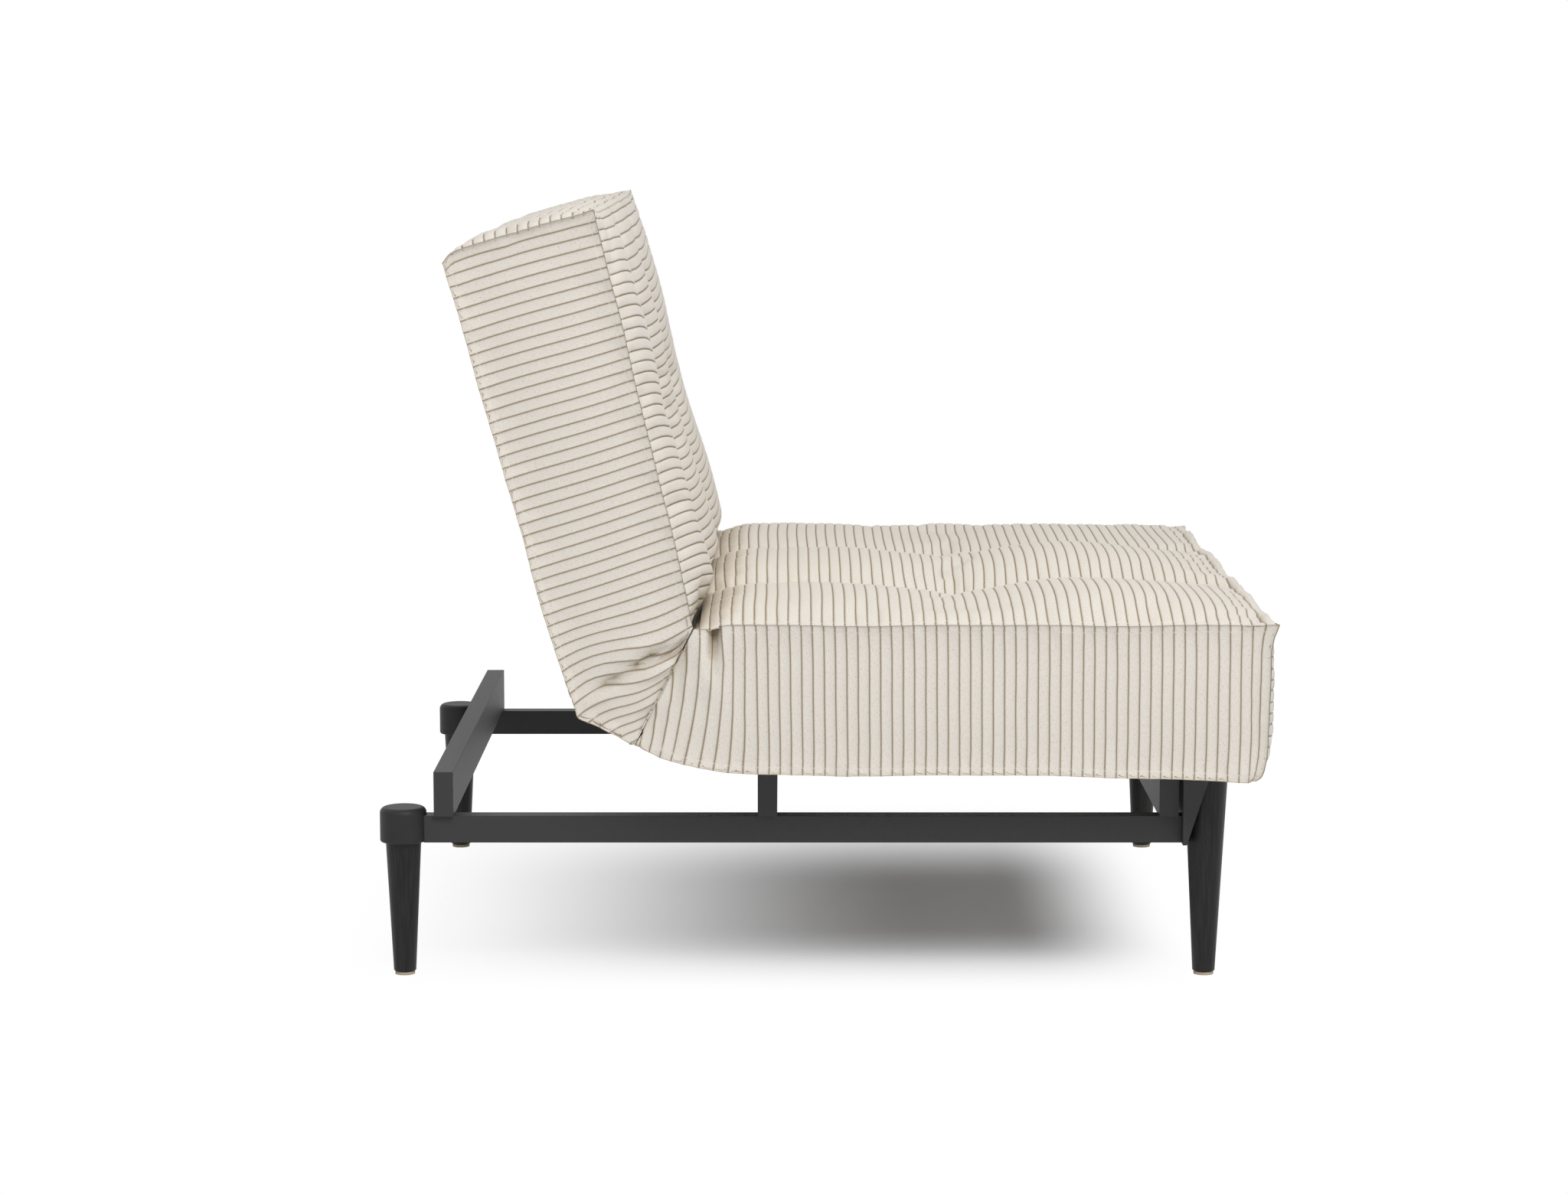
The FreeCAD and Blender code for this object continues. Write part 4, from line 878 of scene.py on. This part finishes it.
def fabric():
    """Woven cloth with flecks. The grooves of its cords are brown, partly their own tone and partly painted
    shade, and painted shade darkens it in its folds.
    """
    dark_thread = (0.69, 0.64, 0.565)
    pale_thread = (0.79, 0.745, 0.675)
    fleck_grey = (0.6, 0.6, 0.6)
    plain_white = (1, 1, 1)
    groove_tone_and_shade = (0.265, 0.203, 0.12, 1)
    painted_fold_shade = (0.66, 0.59, 0.48, 1)
    made, tree, shader = material("corded_cloth")
    place = node(tree, "ShaderNodeUVMap", uv_map="cloth").outputs["UV"]
    weave = noise(tree, place, stretch=(260, 1500, 1), scale=1.0, detail=3.0)
    specks = noise(tree, place, stretch=(500, 900, 1), scale=1.0, detail=1.0)
    tone = ramp(tree, weave, (0.3, dark_thread), (0.7, pale_thread))
    fleck = ramp(tree, specks, (0.29, fleck_grey), (0.36, plain_white))
    flecked = mixed(tree, share=0.7, first=tone, second=fleck, blend="MULTIPLY")
    # Painted shade: the grooves' brown stands partly for the cloth's own tone and partly for the shade inside
    # them
    groove = node(tree, "ShaderNodeAttribute", attribute_name="groove").outputs["Fac"]
    grooved_and_shaded = mixed(tree, share=groove, first=flecked, second=groove_tone_and_shade)
    # Painted shade: ambient occlusion darkens the cloth's colour in its folds and creases
    hollow = node(tree, "ShaderNodeAmbientOcclusion", samples=8, Distance=0.09).outputs["AO"]
    fold_shade_share = ranged(tree, hollow, low=0.25, high=0.85, at_low=1.0, at_high=0.0)
    folded = mixed(tree, share=fold_shade_share, first=grooved_and_shaded, second=painted_fold_shade, blend="MULTIPLY")
    feed(tree, shader.inputs["Base Color"], folded)
    set_values(shader, Roughness=0.92, Sheen_Weight=0.15, Sheen_Roughness=0.5, Specular_IOR_Level=0.2)
    raised(tree, shader, weave, Strength=0.35, Distance=0.0006)
    return made


# How much paler an edge is painted than its finish, as a painted highlight
EDGE_HIGHLIGHT_TIMES = 1.6
EDGE_HIGHLIGHT_PLUS = 0.02


def finish_of(name, colour, rough, metal=0.0, grain=(1, 1, 1), scale=600, spread=0.0, bump=0.0, edge_highlight=0.0):
    """A hard finish with a fine grain in its colour and its surface, and edges painted paler as a painted
    highlight.
    """
    made, tree, shader = material(name)
    place = node(tree, "ShaderNodeTexCoord").outputs["Object"]
    grained = noise(tree, place, grain, scale, detail=4.0)
    darker = [c * (1 - spread) for c in colour]
    paler = [c * (1 + spread) for c in colour]
    tone = ramp(tree, grained, (0.35, darker), (0.65, paler))
    # Painted highlight: sharp convex edges are painted paler
    point = node(tree, "ShaderNodeNewGeometry").outputs["Pointiness"]
    rim = ranged(tree, point, low=0.52, high=0.6, at_low=0.0, at_high=edge_highlight)
    highlight_colour = [min(1, c * EDGE_HIGHLIGHT_TIMES + EDGE_HIGHLIGHT_PLUS) for c in colour]
    feed(tree, shader.inputs["Base Color"], mixed(tree, share=rim, first=tone, second=(*highlight_colour, 1)))
    set_values(shader, Roughness=rough, Specular_IOR_Level=0.25, Metallic=metal)
    rounded = node(tree, "ShaderNodeBevel", samples=4, Radius=0.0012).outputs["Normal"]
    raised(tree, shader, grained, rounded, Strength=bump, Distance=0.0004)
    return made


# The finish of each material slot that keeps its solids
COAT = dict(scale=900, spread=0.08, bump=0.25, edge_highlight=0.5)
STAIN = dict(grain=(1, 1, 0.05), scale=420, spread=0.35, bump=0.2)
FRAME_COAT = dict(scale=700, spread=0.06, bump=0.1, edge_highlight=0.4)
PLAIN_STEEL = dict(metal=1.0, grain=(1, 0.1, 1), scale=900, spread=0.08, bump=0.1)
ZINC = dict(metal=1.0, scale=300, spread=0.1, bump=0.05)
PLYWOOD = dict(grain=(1, 0.06, 1), scale=260, spread=0.16, bump=0.15)
FELT = dict(scale=1500, spread=0.2, bump=0.6)
LOOKS = {
    "steel_coat": finish_of("charcoal_coat", (0.024, 0.024, 0.0245), 0.5, **COAT),
    "stained_wood": finish_of("black_stain", (0.014, 0.0136, 0.0133), 0.45, **STAIN),
    "frame_steel": finish_of("frame_coat", (0.05, 0.05, 0.05), 0.4, **FRAME_COAT),
    "hinge_steel": finish_of("plain_steel", (0.45, 0.45, 0.46), 0.38, **PLAIN_STEEL),
    "zinc_steel": finish_of("zinc", (0.6, 0.6, 0.58), 0.33, **ZINC),
    "plywood": finish_of("plywood", (0.6, 0.44, 0.27), 0.5, **PLYWOOD),
    "felt": finish_of("felt", (0.55, 0.46, 0.33), 0.95, **FELT),
}
for part in frame["record"]["subparts"]:
    slot = part["material_slot"]
    if slot in LOOKS:
        piece = frame["nodes"][part["node"]]
        piece.data.materials.clear()
        piece.data.materials.append(LOOKS[slot])

# The covers' panels
seat_crown = cushion_crown(
    SEAT_TOP.length, tuft=312, start=25, nose=14, ramp=210, crests=SEAT_CRESTS, droop=0, valley=11,
)
back_crown = cushion_crown(
    BACK_FRONT.length, tuft=207, start=22, nose=60, ramp=165, crests=BACK_CRESTS, droop=20, valley=6,
)
seat_panels = [
    Wrap(SEAT_TOP, 1, seat_crown, sewn_ends=(False, True), step=13.0, crease=32, lip=4.5, fold_side=-1),
    Wrap(SEAT_FRONT, 1, end_crown(SEAT_FRONT.length, 2), sewn_ends=(True, False)),
    Wrap(UNDERSIDE, -1, sewn_ends=(False, False), step=42.0),
]
back_panels = [
    Wrap(BACK_FRONT, -1, back_crown, sewn_ends=(False, True), step=12.0, crease=24, fold_side=1),
    Wrap(BACK_TOP, -1, end_crown(BACK_TOP.length, 3)),
    Wrap(BACK_REAR, -1, sewn_ends=(True, False), step=24.0),
    Gusset(),
]
for side in (-1, 1):
    seat_panels.append(Side(side, -1, seat_inner, seat_outer, SEAT_CORDS, FRONT_EDGE, SEAT_SWING, seat_folds))
    back_panels.append(Side(side, 1, back_inner, back_outer, BACK_CORDS, BACK_TOP, BACK_SWING, back_folds))
    back_panels.append(Pleat(side))
settle([panel for panel in seat_panels + back_panels if panel.soft])

# The covers, each taking the place of the parts that it hides
CLOTH = fabric()
for panels, name, replaced in (
    (seat_panels, "seat_upholstery", ("seat_cover", "seat_foam", "fold_gusset", "crease_gusset")),
    (back_panels, "back_upholstery", ("back_cover", "back_foam")),
):
    cover = sewn(name, panels, CLOTH)
    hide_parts(*replaced)
    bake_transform(cover)

# A copy of each pawl's leaf spring takes the place of the spring
for hand in ("left", "right"):
    stiff = frame["nodes"][f"{hand}_pawl_spring"]
    leaf = bpy.data.objects.new(f"{hand}_pawl_leaf", stiff.data.copy())
    leaf.matrix_world = stiff.matrix_world
    bpy.context.scene.collection.objects.link(leaf)
    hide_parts(f"{hand}_pawl_spring")
    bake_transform(leaf)

# The stage, in metres. The shadow shows in a soft window of the floor: along an axis, where it is whole and
# where it has faded away. Each lamp has a place, a power and a size
scene = bpy.context.scene
CAMERA_PLACE = (-0.0385, -4.1757, 0.8857)
CAMERA_DOWN = 7.322
FLOOR_HALF = 9
SHADOW_FADES = (("X", 0.21, 0.40), ("X", 0.12, -0.54), ("Y", -0.19, -0.43), ("Y", 0.11, 0.64))
SKY_STRENGTH = 0.38
LAMPS = (("overhead", (0.6, -0.4, 3.4), 31, 1.6), ("front", (0.8, -3.2, 3.0), 86, 1.8))
LAMP_AIM = Vector((0, 0, 0.4))


def place_camera():
    camera = bpy.data.objects.new("camera", bpy.data.cameras.new("camera"))
    scene.collection.objects.link(camera)
    camera.location = CAMERA_PLACE
    camera.rotation_euler = Euler((math.radians(90 - CAMERA_DOWN), 0, 0))
    camera.data.lens = 86.74
    camera.data.sensor_width = 36
    scene.camera = camera


def seen(tree):
    """1 for the rays that show the room as it is seen, 0 for those that light the chair."""
    rays = node(tree, "ShaderNodeLightPath").outputs
    mirrored = reckoned(tree, "MAXIMUM", rays["Is Camera Ray"], rays["Is Glossy Ray"])
    return reckoned(tree, "MAXIMUM", mirrored, rays["Is Transmission Ray"])


def show_white(tree, share, shader, white, output):
    """Shows a shader with a share of plain white."""
    mix = node(tree, "ShaderNodeMixShader")
    feed(tree, mix.inputs[0], share)
    feed(tree, mix.inputs[1], shader.outputs[0])
    feed(tree, mix.inputs[2], white.outputs[0])
    feed(tree, tree.nodes[output].inputs["Surface"], mix.outputs[0])


def lay_floor():
    """A floor that keeps the chair's shadow and is seen as plain white around it."""
    corners = [(x * FLOOR_HALF, y * FLOOR_HALF, 0) for x, y in ((-1, -1), (1, -1), (1, 1), (-1, 1))]
    mesh = bpy.data.meshes.new("floor")
    mesh.from_pydata(corners, [], [(0, 1, 2, 3)])
    floor = bpy.data.objects.new("floor", mesh)
    scene.collection.objects.link(floor)
    made, tree, shader = material("floor")
    set_values(shader, Base_Color=(0.885, 0.9, 0.93, 1), Roughness=1.0, Specular_IOR_Level=0.0)
    axes = node(tree, "ShaderNodeSeparateXYZ")
    feed(tree, axes.inputs["Vector"], node(tree, "ShaderNodeTexCoord").outputs["Object"])
    fades = []
    for axis, whole, gone in SHADOW_FADES:
        fades.append(ranged(tree, axes.outputs[axis], whole, gone, 1.0, 0.0, "SMOOTHSTEP"))
    window = fades[0]
    for fade in fades[1:]:
        window = reckoned(tree, "MULTIPLY", window, fade)
    plain = reckoned(tree, "SUBTRACT", 1.0, window)
    share = reckoned(tree, "MULTIPLY", plain, seen(tree))
    show_white(tree, share, shader, node(tree, "ShaderNodeEmission"), "Material Output")
    mesh.materials.append(made)


def light_room():
    """A white room that lights the chair from all around, and two lamps."""
    world = bpy.data.worlds.new("studio")
    scene.world = world
    world.use_nodes = True
    sky = world.node_tree
    light = sky.nodes["Background"]
    set_values(light, Color=(1, 1, 1, 1), Strength=SKY_STRENGTH)
    white = node(sky, "ShaderNodeBackground", Color=(1, 1, 1, 1), Strength=1.0)
    show_white(sky, seen(sky), light, white, "World Output")
    for name, place, energy, size in LAMPS:
        lamp = bpy.data.objects.new(name, bpy.data.lights.new(name, "AREA"))
        lamp.data.energy = energy
        lamp.data.size = size
        lamp.location = place
        scene.collection.objects.link(lamp)
        lamp.rotation_euler = (LAMP_AIM - lamp.location).to_track_quat("-Z", "Y").to_euler()


place_camera()
lay_floor()
light_room()
scene.view_settings.view_transform = "Standard"
